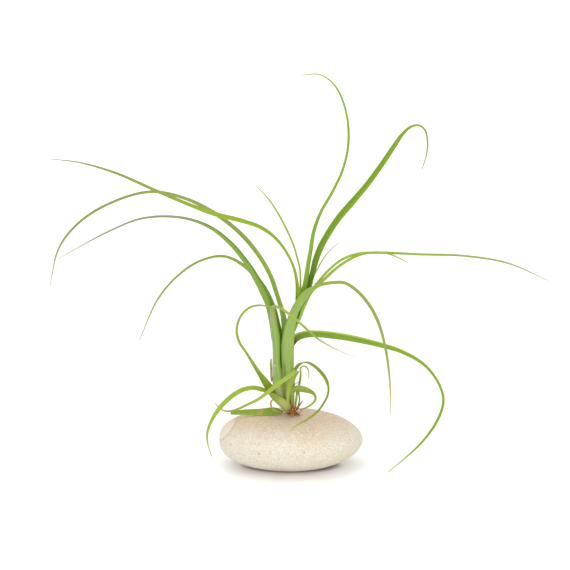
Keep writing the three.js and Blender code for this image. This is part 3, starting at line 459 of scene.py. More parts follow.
def add(tree, kind, **values):
    node = tree.nodes.new(kind)
    for key, value in values.items():
        if key in node.inputs:
            node.inputs[key].default_value = value
        else:
            setattr(node, key, value)
    return node


def link(tree, source, target):
    tree.links.new(source, target)


def fade(tree, value, low, high, out_low=0.0, out_high=1.0):
    """A soft step: the value between low and high, spread over out_low to out_high."""
    node = add(tree, "ShaderNodeMapRange", interpolation_type="SMOOTHSTEP")
    link(tree, value, node.inputs["Value"])
    ends = {"From Min": low, "From Max": high, "To Min": out_low, "To Max": out_high}
    for key, number in ends.items():
        node.inputs[key].default_value = number
    return node.outputs["Result"]


def math_node(tree, operation, a, b):
    node = add(tree, "ShaderNodeMath", operation=operation)
    for k, value in enumerate((a, b)):
        if isinstance(value, (int, float)):
            node.inputs[k].default_value = value
        else:
            link(tree, value, node.inputs[k])
    return node.outputs[0]


def times(tree, a, b):
    return math_node(tree, "MULTIPLY", a, b)


print("node helpers ready")

# %% [markdown]
# The same few steps come back in every finish: one colour laid over another, a noise, the place of a point
# on the piece, and small bumps.


# %% Helpers for a finish
def blend_colour(tree, share, a, b):
    """Colour a, and colour b where share is 1."""
    node = add(tree, "ShaderNodeMix", data_type="RGBA")
    link(tree, share, node.inputs["Factor"])
    for key, value in ((6, a), (7, b)):
        if isinstance(value, tuple):
            node.inputs[key].default_value = (*value, 1)
        else:
            link(tree, value, node.inputs[key])
    return node.outputs[2]


def noise_of(tree, vector, scale, detail=2.0, roughness=0.5):
    node = add(tree, "ShaderNodeTexNoise", Scale=scale, Detail=detail, Roughness=roughness)
    link(tree, vector, node.inputs["Vector"])
    return node.outputs["Fac"]


def object_place(tree):
    return add(tree, "ShaderNodeTexCoord").outputs["Object"]


def raise_by(tree, shader, height, strength, distance):
    bump = add(tree, "ShaderNodeBump", Strength=strength, Distance=distance)
    link(tree, height, bump.inputs["Height"])
    link(tree, bump.outputs["Normal"], shader.inputs["Normal"])


print("finish helpers ready")

# %% [markdown]
# Two more helpers are for leaves alone. One turns a list of tints into a ramp from root to tip. The other
# is one inside a window and fades outside it, which is what a stroke of paint needs.


# %% Tints and windows
def tints_along(tree, value, length, tints):
    """Colour and amount of the tints, each of them (millimetres from the root, colour, amount)."""
    node = add(tree, "ShaderNodeValToRGB")
    link(tree, value, node.inputs["Fac"])
    ramp = node.color_ramp
    ramp.elements.remove(ramp.elements[1])
    ramp.elements[0].position = min(1, tints[0][0] / length)
    ramp.elements[0].color = (*tints[0][1], tints[0][2])
    for d, colour, amount in tints[1:]:
        ramp.elements.new(min(1, d / length)).color = (*colour, amount)
    return node.outputs["Color"], node.outputs["Alpha"]


def window(tree, value, low, high, soft):
    """One between low and high, fading to nothing over soft outside them."""
    rise = fade(tree, value, low - soft, low)
    fall = fade(tree, value, high, high + soft, 1.0, 0.0)
    return times(tree, rise, fall)


print("tints and windows ready")

# %% [markdown]
# The finish itself goes from the skin outwards: veins and patches, the crease, the paler margin, the dust
# of scales, the tints from root to tip and last the strokes. A scaly leaf is rougher than a bare one.

# %% The leaf finish
SCALES = (0.42, 0.46, 0.34)


def leaf_finish(name, length, light, dark, tints=(), scales=0.1, scales_to=0.4, margin=None, beyond=None,
                strokes=(), seed=0.0, rough=0.46):
    """The skin of a leaf. length is in millimetres; beyond is (share across, colour, pale line), and each
    stroke is (colour, amount, from and to across, from and to in millimetres)."""
    material, tree, shader = new_material(name)
    uv = add(tree, "ShaderNodeUVMap")
    place = object_place(tree)
    split = add(tree, "ShaderNodeSeparateXYZ")
    link(tree, uv.outputs["UV"], split.inputs[0])
    across, along = split.outputs["X"], split.outputs["Y"]
    stretch = add(tree, "ShaderNodeMapping", Location=(seed, seed * 2, seed), Scale=(15, length / 16, 1))
    link(tree, uv.outputs["UV"], stretch.inputs["Vector"])
    veins = noise_of(tree, stretch.outputs["Vector"], 1.0, 3.0, 0.6)
    patches = noise_of(tree, place, 70, 3.0, 0.55)
    grain = noise_of(tree, place, 1500, 2.0, 0.6)
    colour = blend_colour(tree, fade(tree, veins, 0.24, 0.76), dark, light)
    colour = blend_colour(tree, fade(tree, patches, 0.38, 0.68, 0.0, 0.5), colour, dark)
    if beyond:
        crease, second, line = beyond
        colour = blend_colour(tree, fade(tree, across, crease - 0.04, crease + 0.04, 0.0, 0.85), colour, second)
        off = math_node(tree, "ABSOLUTE", math_node(tree, "SUBTRACT", across, crease - 0.05), 0)
        colour = blend_colour(tree, fade(tree, off, 0.01, 0.06, line, 0.0), colour, SCALES)
    from_keel = math_node(tree, "ABSOLUTE", math_node(tree, "SUBTRACT", across, 0.5), 0)
    margin = margin or (tuple(c * 1.2 + 0.02 for c in light), 0.25)
    colour = blend_colour(tree, fade(tree, from_keel, 0.34, 0.48, 0.0, margin[1]), colour, margin[0])
    speckle = fade(tree, grain, 0.46, 0.72, 0.0, scales)
    worn = fade(tree, along, scales_to * 0.5, scales_to, 1.0, 0.15)
    dust = times(tree, speckle, worn)
    dusty = math_node(tree, "ADD", dust, times(tree, worn, scales * 0.3))
    colour = blend_colour(tree, dusty, colour, SCALES)
    if tints:
        uneven = times(tree, math_node(tree, "SUBTRACT", veins, 0.5), 5 / length)
        tint, amount = tints_along(tree, math_node(tree, "ADD", along, uneven), length, tints)
        colour = blend_colour(tree, amount, colour, tint)
    wander = times(tree, math_node(tree, "SUBTRACT", patches, 0.5), 0.2)
    ragged = math_node(tree, "ADD", across, wander)
    for paint, amount, left, right, start, end in strokes:
        beside = window(tree, ragged, left, right, 0.06)
        run = window(tree, along, start / length, end / length, (end - start) * 0.3 / length)
        where = times(tree, beside, run)
        colour = blend_colour(tree, times(tree, where, amount), colour, paint)
    link(tree, colour, shader.inputs["Base Color"])
    link(tree, fade(tree, dusty, 0.0, 0.5, rough, rough + 0.25), shader.inputs["Roughness"])
    shader.inputs["Specular IOR Level"].default_value = 0.25
    ridges = math_node(tree, "ADD", times(tree, veins, 0.8), times(tree, grain, 0.35))
    raise_by(tree, shader, ridges, 0.45, 0.00012)
    return material


print("leaf finish ready")

# %% [markdown]
# These are the colours that come back on several leaves, from dry to fresh and to silvery.

# %% The palette
TAN = (0.396, 0.292, 0.104)
STRAW = (0.456, 0.386, 0.162)
RUST = (0.360, 0.175, 0.033)
BROWN = (0.132, 0.076, 0.019)
GREY = (0.504, 0.491, 0.342)
ASH = (0.215, 0.250, 0.125)
OLIVE = (0.244, 0.306, 0.036)
DULL = (0.225, 0.262, 0.072)
SHADY = (0.079, 0.170, 0.002)
GREEN = (0.165, 0.306, 0.010)
FRESH = (0.244, 0.401, 0.021)
BRIGHT = (0.323, 0.469, 0.038)
SILVER = (0.317, 0.449, 0.078)
SILVER_DARK = (0.211, 0.333, 0.040)
print("fresh green is", FRESH, "and tan is", TAN)

# %% [markdown]
# ## Growing them all
# Leaves of one plant are close in colour and never the same. So each one gets its own two materials, one
# for its back and one for its hollow side, from a short list of what is different about it: how yellow or
# olive it is, how much silver it has, and where it is rusty, shaded or dried along its length.

# %% What is different about each leaf
LOOKS = {
    "right_leaf_front": dict(
        light=SILVER, dark=SILVER_DARK, scales=0.30, scales_to=0.55, beyond=(0.62, (0.264, 0.435, 0.036), 0.0),
        strokes=[((0.34, 0.36, 0.12), 0.5, 0.1, 0.9, 2, 14), (SHADY, 0.6, 0.30, 0.38, 8, 26),
                 (TAN, 0.8, 0.0, 0.2, 5, 24)],
        tints=[(0, RUST, 0.7), (4, TAN, 0.55), (11, TAN, 0.0), (62, SILVER_DARK, 0.0), (80, OLIVE, 0.25),
               (98, (0.257, 0.300, 0.052), 0.7), (112, (0.257, 0.290, 0.052), 0.9),
               (155, (0.251, 0.306, 0.056), 0.85), (168, STRAW, 0.7), (180, GREY, 1)],
    ),
    "left_leaf_front": dict(
        light=(0.270, 0.400, 0.060), dark=(0.185, 0.310, 0.036), scales=0.24, scales_to=0.6,
        beyond=(0.62, (0.200, 0.400, 0.020), 0.35),
        strokes=[((0.42, 0.44, 0.16), 0.75, 0.15, 0.9, 2, 15), (TAN, 0.8, 0.0, 0.24, 1, 18),
                 (RUST, 0.5, 0.84, 1.0, 3, 16), (SCALES, 0.6, 0.0, 0.3, 24, 54),
                 ((0.75, 0.75, 0.7), 0.5, 0.34, 0.46, 25.6, 26.0)],
        tints=[(0, RUST, 0.8), (3, TAN, 0.6), (9, TAN, 0.15), (14, TAN, 0.0), (44, (0.300, 0.370, 0.100), 0.0),
               (52, (0.290, 0.350, 0.105), 0.85), (58, (0.290, 0.350, 0.080), 0.9),
               (84, (0.330, 0.408, 0.044), 0.9), (97, (0.251, 0.326, 0.068), 0.9), (112, GREY, 0.8),
               (129, (0.720, 0.702, 0.522), 1)],
    ),
    "left_leaf_low_arch": dict(
        light=FRESH, dark=GREEN, scales=0.15, hollow=0.95,
        tints=[(0, SHADY, 0.6), (45, SHADY, 0.35), (60, SHADY, 0.15), (70, DULL, 0.5), (150, DULL, 0.6),
               (185, STRAW, 0.9)],
    ),
    "left_leaf_broad_arch": dict(
        light=(0.218, 0.360, 0.026), dark=(0.139, 0.265, 0.011), scales=0.14, scales_to=0.5,
        # the dark stroke along the right edge is painted shade on that side of the blade
        strokes=[((0.085, 0.200, 0.006), 0.8, 0.76, 1.0, 8, 78)],
        tints=[(0, SHADY, 0.4), (14, SHADY, 0.0), (62, OLIVE, 0.0), (85, (0.238, 0.279, 0.090), 0.8),
               (110, ASH, 0.95), (140, ASH, 0.95), (168, GREY, 1)],
    ),
    "right_leaf_high_arch": dict(
        light=FRESH, dark=GREEN, scales=0.2, scales_to=0.4, hollow=0.95,
        tints=[(0, SHADY, 0.4), (20, SHADY, 0.0), (80, DULL, 0.0), (105, DULL, 0.75), (225, DULL, 0.85),
               (256, STRAW, 1)],
    ),
    "right_leaf_tall": dict(
        light=FRESH, dark=GREEN, scales=0.1, scales_to=0.3,
        tints=[(0, SHADY, 0.85), (14, SHADY, 0.6), (30, SHADY, 0.0), (130, BRIGHT, 0.0), (159, BRIGHT, 0.6)],
    ),
    "right_leaf_hooked": dict(
        light=(0.218, 0.374, 0.014), dark=(0.145, 0.286, 0.006), scales=0.05, hollow=1.0,
        beyond=(0.55, (0.125, 0.258, 0.003), 0.0), margin=(BRIGHT, 0.35),
        tints=[(0, SHADY, 1.0), (20, SHADY, 0.85), (42, SHADY, 0.15), (70, OLIVE, 0.0), (135, OLIVE, 0.4),
               (161, OLIVE, 0.9)],
    ),
    "right_leaf_far_left": dict(
        light=(0.284, 0.408, 0.024), dark=(0.205, 0.320, 0.011), scales=0.06, hollow=1.0,
        tints=[(0, BRIGHT, 0.6), (20, BRIGHT, 0.0), (90, DULL, 0.0), (125, DULL, 0.6), (170, DULL, 0.9),
               (181, GREY, 1)],
    ),
    "right_leaf_long_right": dict(
        light=(0.285, 0.435, 0.036), dark=(0.205, 0.360, 0.022), scales=0.08, scales_to=0.2,
        # the near-black stroke down the left edge near the base is a painted shadow, in the slit beside the
        # front sheath
        strokes=[((0.04, 0.09, 0.003), 0.92, 0.0, 0.34, 6, 23)],
        tints=[(0, FRESH, 0.6), (30, FRESH, 0.0), (60, OLIVE, 0.0), (100, OLIVE, 0.6),
               (140, (0.264, 0.292, 0.056), 0.85), (155, STRAW, 0.9), (167, GREY, 1)],
    ),
    "right_leaf_drooping": dict(
        light=(0.215, 0.345, 0.014), dark=(0.145, 0.265, 0.005), scales=0.05, hollow=1.0,
        strokes=[((0.42, 0.50, 0.09), 0.8, 0.84, 1.0, 9, 110)],
        tints=[(0, BROWN, 1), (3, BROWN, 0.9), (4.5, SHADY, 0.5), (16, SHADY, 0.15), (30, SHADY, 0.0),
               (120, OLIVE, 0.0), (157, BRIGHT, 0.7)],
    ),
    "right_leaf_back_right": dict(
        light=(0.330, 0.420, 0.030), dark=(0.270, 0.375, 0.020), scales=0.06, hollow=0.95,
        tints=[(0, FRESH, 0.0), (90, OLIVE, 0.2), (117, STRAW, 0.8)],
    ),
    "right_leaf_thin_back": dict(
        light=(0.277, 0.401, 0.032), dark=(0.198, 0.320, 0.016), hollow=1.0,
        tints=[(0, FRESH, 0.0), (75, OLIVE, 0.3), (90, OLIVE, 0.8)],
    ),
    "right_leaf_short_back": dict(
        light=OLIVE, dark=GREEN, hollow=1.0,
        tints=[(0, FRESH, 0.5), (40, OLIVE, 0.2), (70, STRAW, 0.6), (100, GREY, 1)],
    ),
    "base_leaf_across": dict(
        light=(0.330, 0.456, 0.048), dark=(0.244, 0.360, 0.028), scales=0.14, scales_to=0.7, hollow=0.95,
        strokes=[(TAN, 0.8, 0.0, 0.2, 1, 21), (BROWN, 0.6, 0.86, 1.0, 0, 12)],
        tints=[(0, BROWN, 0.8), (3, TAN, 0.4), (9, TAN, 0.2), (15, TAN, 0.0), (27, OLIVE, 0.3),
               (34, OLIVE, 0.0), (58, OLIVE, 0.3), (68, (0.27, 0.27, 0.07), 0.8), (84, (0.30, 0.27, 0.10), 1)],
    ),
    "base_leaf_left_arch": dict(
        light=(0.317, 0.456, 0.032), dark=(0.224, 0.347, 0.018), scales=0.16, scales_to=0.3, hollow=0.95,
        strokes=[((0.38, 0.41, 0.13), 0.7, 0.15, 0.85, 0, 9), (RUST, 0.75, 0.0, 0.12, 0, 8),
                 (TAN, 0.7, 0.90, 1.0, 2, 20)],
        tints=[(0, RUST, 0.7), (3, (0.300, 0.281, 0.076), 0.7), (9, (0.288, 0.281, 0.067), 0.45),
               (15, SHADY, 0.35), (24, SHADY, 0.1), (30, OLIVE, 0.0), (68, OLIVE, 0.3), (80, OLIVE, 0.9)],
    ),
    "base_leaf_curled": dict(
        light=(0.264, 0.381, 0.036), dark=(0.198, 0.279, 0.020), scales=0.14, scales_to=0.6,
        margin=(BRIGHT, 0.4),
        tints=[(0, BROWN, 0.9), (5, (0.204, 0.193, 0.028), 0.7), (14, OLIVE, 0.25), (24, OLIVE, 0.0),
               (34, BRIGHT, 0.3), (44, OLIVE, 0.8)],
    ),
    "base_leaf_left_loop": dict(
        light=(0.264, 0.394, 0.018), dark=(0.172, 0.279, 0.008), scales=0.05, hollow=1.0, margin=(OLIVE, 0.6),
        tints=[(0, SHADY, 0.6), (5, SHADY, 0.25), (10, SHADY, 0.0), (25, OLIVE, 0.0), (45, OLIVE, 0.6),
               (79, (0.330, 0.381, 0.056), 0.8)],
    ),
    "base_leaf_cut": dict(
        light=(0.257, 0.401, 0.024), dark=(0.185, 0.306, 0.010), scales=0.06, hollow=1.0,
        margin=((0.396, 0.363, 0.076), 0.6),
        tints=[(0, RUST, 0.6), (2, SHADY, 0.5), (8, SHADY, 0.3), (11, SHADY, 0.1),
               (12.3, (0.456, 0.351, 0.104), 0.75), (14.3, TAN, 0.6), (15.5, TAN, 0.0), (27, GREEN, 0.0),
               (31, SHADY, 0.4)],
    ),
    "base_leaf_hoop": dict(
        light=(0.205, 0.299, 0.018), dark=(0.139, 0.224, 0.006), scales=0.05, hollow=1.0,
        tints=[(0, BROWN, 0.8), (6, OLIVE, 0.3), (20, OLIVE, 0.0), (70, OLIVE, 0.3), (87, STRAW, 0.9)],
    ),
    "base_leaf_small_hook": dict(
        light=(0.310, 0.370, 0.032), dark=(0.185, 0.245, 0.014), scales=0.08, hollow=1.0,
        tints=[(0, RUST, 0.8), (5, OLIVE, 0.2), (20, OLIVE, 0.0), (36, STRAW, 0.6)],
    ),
    "base_leaf_stub": dict(
        light=BRIGHT, dark=FRESH, scales=0.08, tints=[(0, RUST, 0.8), (4, OLIVE, 0.2), (13, OLIVE, 0.2)],
    ),
}
print("looks for", len(LOOKS), "leaves")

# %% [markdown]
# The hollow side of a leaf takes the same look with fewer scales and, on some leaves, darker, which is
# painted shade inside the channel. One leaf behind the shoots is as thin as a thread, so its blade is
# thinner too.


# %% Grow and colour every leaf
def darker(colour, by):
    return tuple(c * by for c in colour)


def dress_leaf(leaf, node, shape, hollow=0.8, **look):
    length = smooth_line(shape["line"], 2)[1][-1]
    seed = (sum(ord(c) for c in node) % 97) / 7
    back = leaf_finish(node + "_back", length, seed=seed, **look)
    # the hollow side is made darker by hollow, as painted shade inside the channel; its fewer scales are its
    # own
    inside = dict(look, light=darker(look["light"], hollow), dark=darker(look["dark"], hollow))
    inside.update(scales=look.get("scales", 0.1) * 0.3, rough=0.40)
    front = leaf_finish(node + "_hollow", length, seed=seed + 3, **inside)
    leaf.data.materials.append(back)
    leaf.data.materials.append(front)


THIN_BLADE = 0.35 * MM
WAVE = 0.05
grown = {}
for node, shape in {**RIGHT_SHOOT, **LEFT_SHOOT, **BASE_LEAVES}.items():
    words = node.split("_leaf_")
    blade = THIN_BLADE if node == "right_leaf_short_back" else BLADE
    leaf = grow_leaf(words[0] + "_" + words[1] + "_leaf", wave=WAVE, blade=blade, **shape)
    dress_leaf(leaf, node, shape, **LOOKS[node])
    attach(leaf, "root")
    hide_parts(node)
    grown[node] = leaf
print("grew", len(grown), "leaves with", sum(len(o.data.polygons) for o in grown.values()), "faces")

# %% [markdown]
# ## Dry scraps
# Old leaf edges dry to brown paper. They are grown the same way, thinner, with a curl in their line, and
# coloured from straw to brown along their length.


# %% The papery finish and the scraps
def paper_finish(name, light, dark):
    material, tree, shader = new_material(name)
    uv = add(tree, "ShaderNodeUVMap")
    place = object_place(tree)
    stretch = add(tree, "ShaderNodeMapping", Scale=(9, 2.5, 1))
    link(tree, uv.outputs["UV"], stretch.inputs["Vector"])
    fibres = noise_of(tree, stretch.outputs["Vector"], 1.0, 3.0, 0.65)
    stains = noise_of(tree, place, 300, 2.0)
    colour = blend_colour(tree, fade(tree, fibres, 0.3, 0.7), dark, light)
    colour = blend_colour(tree, fade(tree, stains, 0.5, 0.75, 0.0, 0.6), colour, darker(dark, 0.7))
    link(tree, colour, shader.inputs["Base Color"])
    shader.inputs["Roughness"].default_value = 0.75
    raise_by(tree, shader, fibres, 0.6, 0.00015)
    return material


dry_paper = paper_finish("dry_leaf_paper", (0.40, 0.40, 0.14), (0.28, 0.25, 0.07))
for node, piece in (("base_strand", "curled_strand"), ("dry_leaf_edge", "dry_edge_scrap")):
    scrap = grow_leaf(piece, rim=0.35, spacing=0.8, **DRY_SCRAPS[node])
    scrap.data.materials.append(dry_paper)
    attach(scrap, "root")
    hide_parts(node)
    print(piece, "has", len(scrap.data.polygons), "faces")

# %% [markdown]
# ## Roots and crown
# The roots of an air plant only hold it in place: they are short, stiff and wiry. Each one is a grid rolled
# right round into a tube along its own line. They fan out from a short woody crown. The wires seen in
# front are placed one by one, and the finer ones that reach the stone are drawn at random from a fixed
# seed, so the tangle stays the same each time. The tangle replaces the whole stem of the solid model, whose
# two thin branches run up inside the rolled leaves and aren't grown here.


# %% Grow a root
ROOT_SPACING = 0.7
KNOBBLY = 0.25  # how much the thickness of a root varies
BLUNT_END = 0.5  # how much of it the two ends lose


def grow_root(points, thick, thin, sides=8):
    keel = smooth_line(points, ROOT_SPACING)[0]
    rows = len(keel) - 1
    bpy.ops.object.select_all(action="DESELECT")
    bpy.ops.mesh.primitive_grid_add(x_subdivisions=sides, y_subdivisions=rows, size=2, calc_uvs=True)
    root = bpy.context.object
    frames = []
    for n, point in enumerate(keel):
        along = (keel[min(n + 1, rows)] - keel[max(n - 1, 0)]).normalized()
        into = Vector((0.3, -1, 0.4))
        into = (into - along * into.dot(along)).normalized()
        radius = thick + (thin - thick) * n / rows
        radius *= 1 + KNOBBLY * noise.noise(point * 0.9) - (BLUNT_END if n in (0, rows) else 0)
        frames.append((point, into, into.cross(along), radius))
    for v in root.data.vertices:
        point, into, across, radius = frames[round((v.co.y + 1) / 2 * rows)]
        angle = v.co.x * math.pi
        v.co = (point + (across * math.sin(angle) - into * math.cos(angle)) * radius) * MM
    mesh = bmesh.new()
    mesh.from_mesh(root.data)
    bmesh.ops.remove_doubles(mesh, verts=mesh.verts, dist=1e-6)
    bmesh.ops.holes_fill(mesh, edges=[e for e in mesh.edges if e.is_boundary], sides=0)
    mesh.to_mesh(root.data)
    mesh.free()
    smooth(root, 80)
    return root


trial = grow_root([(0, 0, 34), (3, 0, 34), (6, 1, 32)], 0.4, 0.2)
print("a root has", len(trial.data.polygons), "faces")
bpy.data.objects.remove(trial)

# %% [markdown]
# Each wire has its line in millimetres, and how thick it is where it starts and where it ends. The stump
# has too. A fine root starts in the crown, bends a little and ends on the stone.

# %% Where the roots run
CROWN = Vector((1.2, -6.6, 32.6))
STUMP = ([(0.4, -6.4, 31.7), (0.4, -6.8, 34), (0.6, -7.4, 37)], 2.1, 1.5)
FINE_ROOTS = 26
ROOT_SEED = 11
WIRES = [
    ([(1.4, -10.6, 34.0), (3.5, -10.8, 36.8), (5.0, -11.0, 39.2), (6.5, -11.2, 41.6)], 0.46, 0.30),
    ([(-0.1, -10.4, 33.4), (1.9, -11.2, 34.8), (3.5, -11.2, 36.4), (4.4, -11.2, 37.9)], 0.36, 0.24),
    ([(0.9, -10.4, 36.4), (1.7, -11.2, 39.5), (2.7, -11.0, 38.8)], 0.62, 0.40),
    ([(0.5, -10.4, 35.4), (1.6, -11.0, 37.8), (2.5, -10.8, 38.3)], 0.55, 0.34),
    ([(1.5, -9.6, 34.4), (3.8, -10.6, 36.1), (6.5, -10.4, 35.0)], 0.20, 0.10),
    ([(0.6, -9.8, 34.0), (3.3, -11.2, 34.3), (4.9, -10.4, 34.0)], 0.24, 0.14),
    ([(-5.3, -11.0, 35.8), (-3.7, -11.8, 34.4), (-1.7, -12.0, 33.9), (0.8, -11.4, 33.6)], 0.30, 0.22),
    ([(-2.9, -12.2, 34.6), (-1.2, -12.6, 36.6), (-0.1, -12.3, 38.2), (0.7, -11.8, 39.3)], 0.26, 0.18),
    ([(-1.8, -11.8, 34.3), (-0.1, -12.2, 35.5), (0.9, -12.0, 36.9), (1.4, -11.6, 38.3)], 0.34, 0.22),
    ([(-0.6, -11.4, 33.8), (0.8, -11.8, 34.7), (2.3, -11.6, 35.1), (3.2, -11.4, 36.6)], 0.32, 0.20),
    ([(-5.9, -10.6, 35.6), (-4.2, -11.4, 34.4), (-2.0, -11.6, 33.8)], 0.20, 0.14),
    ([(4.4, -10.4, 36.3), (5.2, -10.4, 35.5), (5.8, -10.4, 34.6)], 0.10, 0.06),
]


def stone_top(x, y):
    """Height of the stone in millimetres under a point near the crown."""
    return 32.1 - 0.0026 * x * x - 0.0077 * y * y


rng = random.Random(ROOT_SEED)
lines = [STUMP] + WIRES
for _ in range(FINE_ROOTS):
    turn = rng.uniform(-3.1, 3.1)
    reach = rng.uniform(2.0, 5.5)
    tip = CROWN + Vector((math.cos(turn) * reach, math.sin(turn) * reach * 0.5, 0))
    tip.z = stone_top(tip.x, tip.y) + 0.2
    middle = CROWN.lerp(tip, 0.55)
    middle.z = stone_top(middle.x, middle.y) + rng.uniform(0.4, 2.0)
    middle += Vector((rng.uniform(-1, 1), rng.uniform(-0.6, 0.6), 0))
    start = CROWN + Vector((rng.uniform(-1.4, 1.4), rng.uniform(-2.6, 0.6), rng.uniform(-0.2, 2.2)))
    lines.append(([tuple(start), tuple(middle), tuple(tip)], rng.uniform(0.16, 0.32), 0.12))
print(len(lines), "roots planned")

# %% [markdown]
# All the roots are joined, so that they are one piece in the end.

# %% Roll the roots and join them
roots = [grow_root(points, thick, thin) for points, thick, thin in lines]
pick(roots[0])
for root in roots:
    root.select_set(True)
bpy.ops.object.join()
tangle = bpy.context.object
tangle.name = tangle.data.name = "root_tangle"
print("joined", len(roots), "roots")

# %% [markdown]
# The outside of a dry root is bark: dark brown where it is sound and rusty tan where it has peeled. A
# photograph wrapped on would repeat on every root, so noise makes the patches and the lighter specks.


# %% The bark of the roots
def root_finish(name):
    material, tree, shader = new_material(name)
    place = object_place(tree)
    patches = noise_of(tree, place, 420, 3.0, 0.6)
    fine = noise_of(tree, place, 2200, 3.0, 0.6)
    colour = blend_colour(tree, fade(tree, patches, 0.38, 0.70), (0.085, 0.028, 0.005), (0.66, 0.32, 0.06))
    colour = blend_colour(tree, fade(tree, fine, 0.55, 0.75, 0.0, 0.5), colour, (0.62, 0.38, 0.13))
    link(tree, colour, shader.inputs["Base Color"])
    shader.inputs["Roughness"].default_value = 0.7
    raise_by(tree, shader, fine, 0.7, 0.0002)
    return material


tangle.data.materials.append(root_finish("woody_root"))
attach(tangle, "root")
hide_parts("stem_and_roots")
print("root tangle has", len(tangle.data.polygons), "faces")

# %% [markdown]
# One thin stalk shows between two curled leaves. It has no solid of its own, and it takes the green of the
# small hook next to it.

# %% A thin stalk between two curled leaves
stalk = grow_root([(1.5, -10.9, 50.3), (3.0, -11.2, 51.7), (4.7, -10.4, 52.2)], 0.26, 0.2)
stalk.name = stalk.data.name = "thin_stalk"
stalk.data.materials.append(bpy.data.materials["base_leaf_small_hook_back"])
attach(stalk, "root")
print("stalk is", [round(d * 1000, 1) for d in stalk.dimensions], "mm")

# %% [markdown]
# ## The pebble
# A river pebble is a ball that water has squared off a little. The same roundness exponents as in the
# solid are put on a much finer sphere: fuller at the left end, leaner at the right, and flat underneath
# where it stands. A very slow swell keeps it from looking turned on a lathe.

# %% Shape the pebble
HALF = (41.1, 30.0, 16.35)
FOOT = 0.6
BLUNT_LEFT, BLUNT_RIGHT, BLUNT_PLAN = 2.34, 1.9, 2.1
SWELL = 0.006
bpy.ops.object.select_all(action="DESELECT")
bpy.ops.mesh.primitive_uv_sphere_add(segments=128, ring_count=80, radius=1)
stone = bpy.context.object
stone.name = stone.data.name = "river_stone"


def power(value, exponent):
    return math.copysign(abs(value) ** exponent, value)


for v in stone.data.vertices:
    x, y, z = v.co
    blunt = BLUNT_LEFT + (BLUNT_RIGHT - BLUNT_LEFT) * (x + 1) / 2
    level = math.hypot(x, y)
    reach = level ** (2 / blunt)
    plan = (x / level, y / level) if level > 1e-6 else (0, 0)
    swell = 1 + SWELL * noise.noise(v.co * 1.6)
    v.co = Vector((
        HALF[0] * reach * power(plan[0], 2 / BLUNT_PLAN) * swell,
        HALF[1] * reach * power(plan[1], 2 / BLUNT_PLAN) * swell,
        max(0.0, HALF[2] - FOOT + HALF[2] * power(z, 2 / blunt) * swell),
    )) * MM
smooth(stone, 60)
print("stone is", [round(d * 1000, 1) for d in stone.dimensions], "mm")

# %% [markdown]
# Sandstone is grains of different colours packed tight. A fine noise gives the sand, a cell pattern gives
# single white, tan and dark grains, and a few deeper cells are pits. The colour is tan over the top, partly
# its own and partly painted shade, and creamy on the sides, with a thin rosy band low down. Near the left
# end a soft crease is painted on, a dark line of painted shade with a paler rim of painted highlight beyond
# it, and there is one small rusty spot; three dark specks sit on the front.


# %% Grains of sand
def grains(tree, vector, scale, low, high, amount):
    cells = add(tree, "ShaderNodeTexVoronoi", Scale=scale)
    link(tree, vector, cells.inputs["Vector"])
    split = add(tree, "ShaderNodeSeparateXYZ")
    link(tree, cells.outputs["Color"], split.inputs[0])
    return fade(tree, split.outputs["X"], low, high, 0.0, amount)


print("a grain is one cell of a pattern")

# %% [markdown]
# The finish starts with the broad colours and the sand. They depend on height and on noise in the stone's
# own space, so nothing stretches over the round ends as a flat picture would.

# %% The colours of the stone
material, tree, shader = new_material("sandstone")
place = object_place(tree)
split = add(tree, "ShaderNodeSeparateXYZ")
link(tree, place, split.inputs[0])
height = split.outputs["Z"]
broad = noise_of(tree, place, 45, 3.0, 0.55)
sand = noise_of(tree, place, 900, 4.0, 0.7)
wobble = times(tree, math_node(tree, "SUBTRACT", broad, 0.5), 0.012)
level = math_node(tree, "ADD", height, wobble)
# tan over the top and creamy on the sides: partly the stone's own colour, partly painted shade on the less lit
# top
colour = blend_colour(tree, fade(tree, level, 0.018, 0.031), (0.675, 0.640, 0.535), (0.60, 0.455, 0.31))
colour = blend_colour(tree, fade(tree, broad, 0.4, 0.7, 0.0, 0.25), colour, (0.74, 0.60, 0.43))
colour = blend_colour(tree, fade(tree, sand, 0.42, 0.66, 0.0, 0.3), colour, (0.48, 0.37, 0.25))
colour = blend_colour(tree, grains(tree, place, 1700, 0.78, 0.9, 0.30), colour, (0.93, 0.89, 0.80))
colour = blend_colour(tree, grains(tree, place, 1300, 0.88, 0.95, 0.28), colour, (0.46, 0.31, 0.19))
rosy = fade(tree, level, 0.0014, 0.0060, 0.60, 0.0)
colour = blend_colour(tree, rosy, colour, (0.52, 0.35, 0.24))
print("stone has", len(tree.nodes), "nodes so far")

# %% [markdown]
# The marks come next: four spots, then the crease with its rim, both painted: painted shade along the
# crease and a painted highlight on the rim. The crease is a slanting plane through the left end, and it
# fades out towards the back.

# %% The marks on the stone
RUSTY, SPECK = (0.72, 0.38, 0.11), (0.47, 0.38, 0.25)
SPOTS = [
    ((-34.0, -17.3, 17.7), RUSTY), ((7.3, -27.7, 22.6), SPECK), ((7.2, -29.9, 17.0), SPECK),
    ((-17.9, -27.4, 15.6), SPECK),
]
for where, paint in SPOTS:
    spot = add(tree, "ShaderNodeVectorMath", operation="DISTANCE")
    link(tree, place, spot.inputs[0])
    spot.inputs[1].default_value = [c * MM for c in where]
    dot = fade(tree, spot.outputs["Value"], 0.4 * MM, 1.0 * MM, 0.75, 0.0)
    colour = blend_colour(tree, dot, colour, paint)
crease = math_node(tree, "SUBTRACT", split.outputs["X"], times(tree, height, 0.86))
crease = math_node(tree, "ADD", crease, times(tree, wobble, 0.1))
in_front = fade(tree, split.outputs["Y"], -0.004, 0.004, 0.4, 0.0)
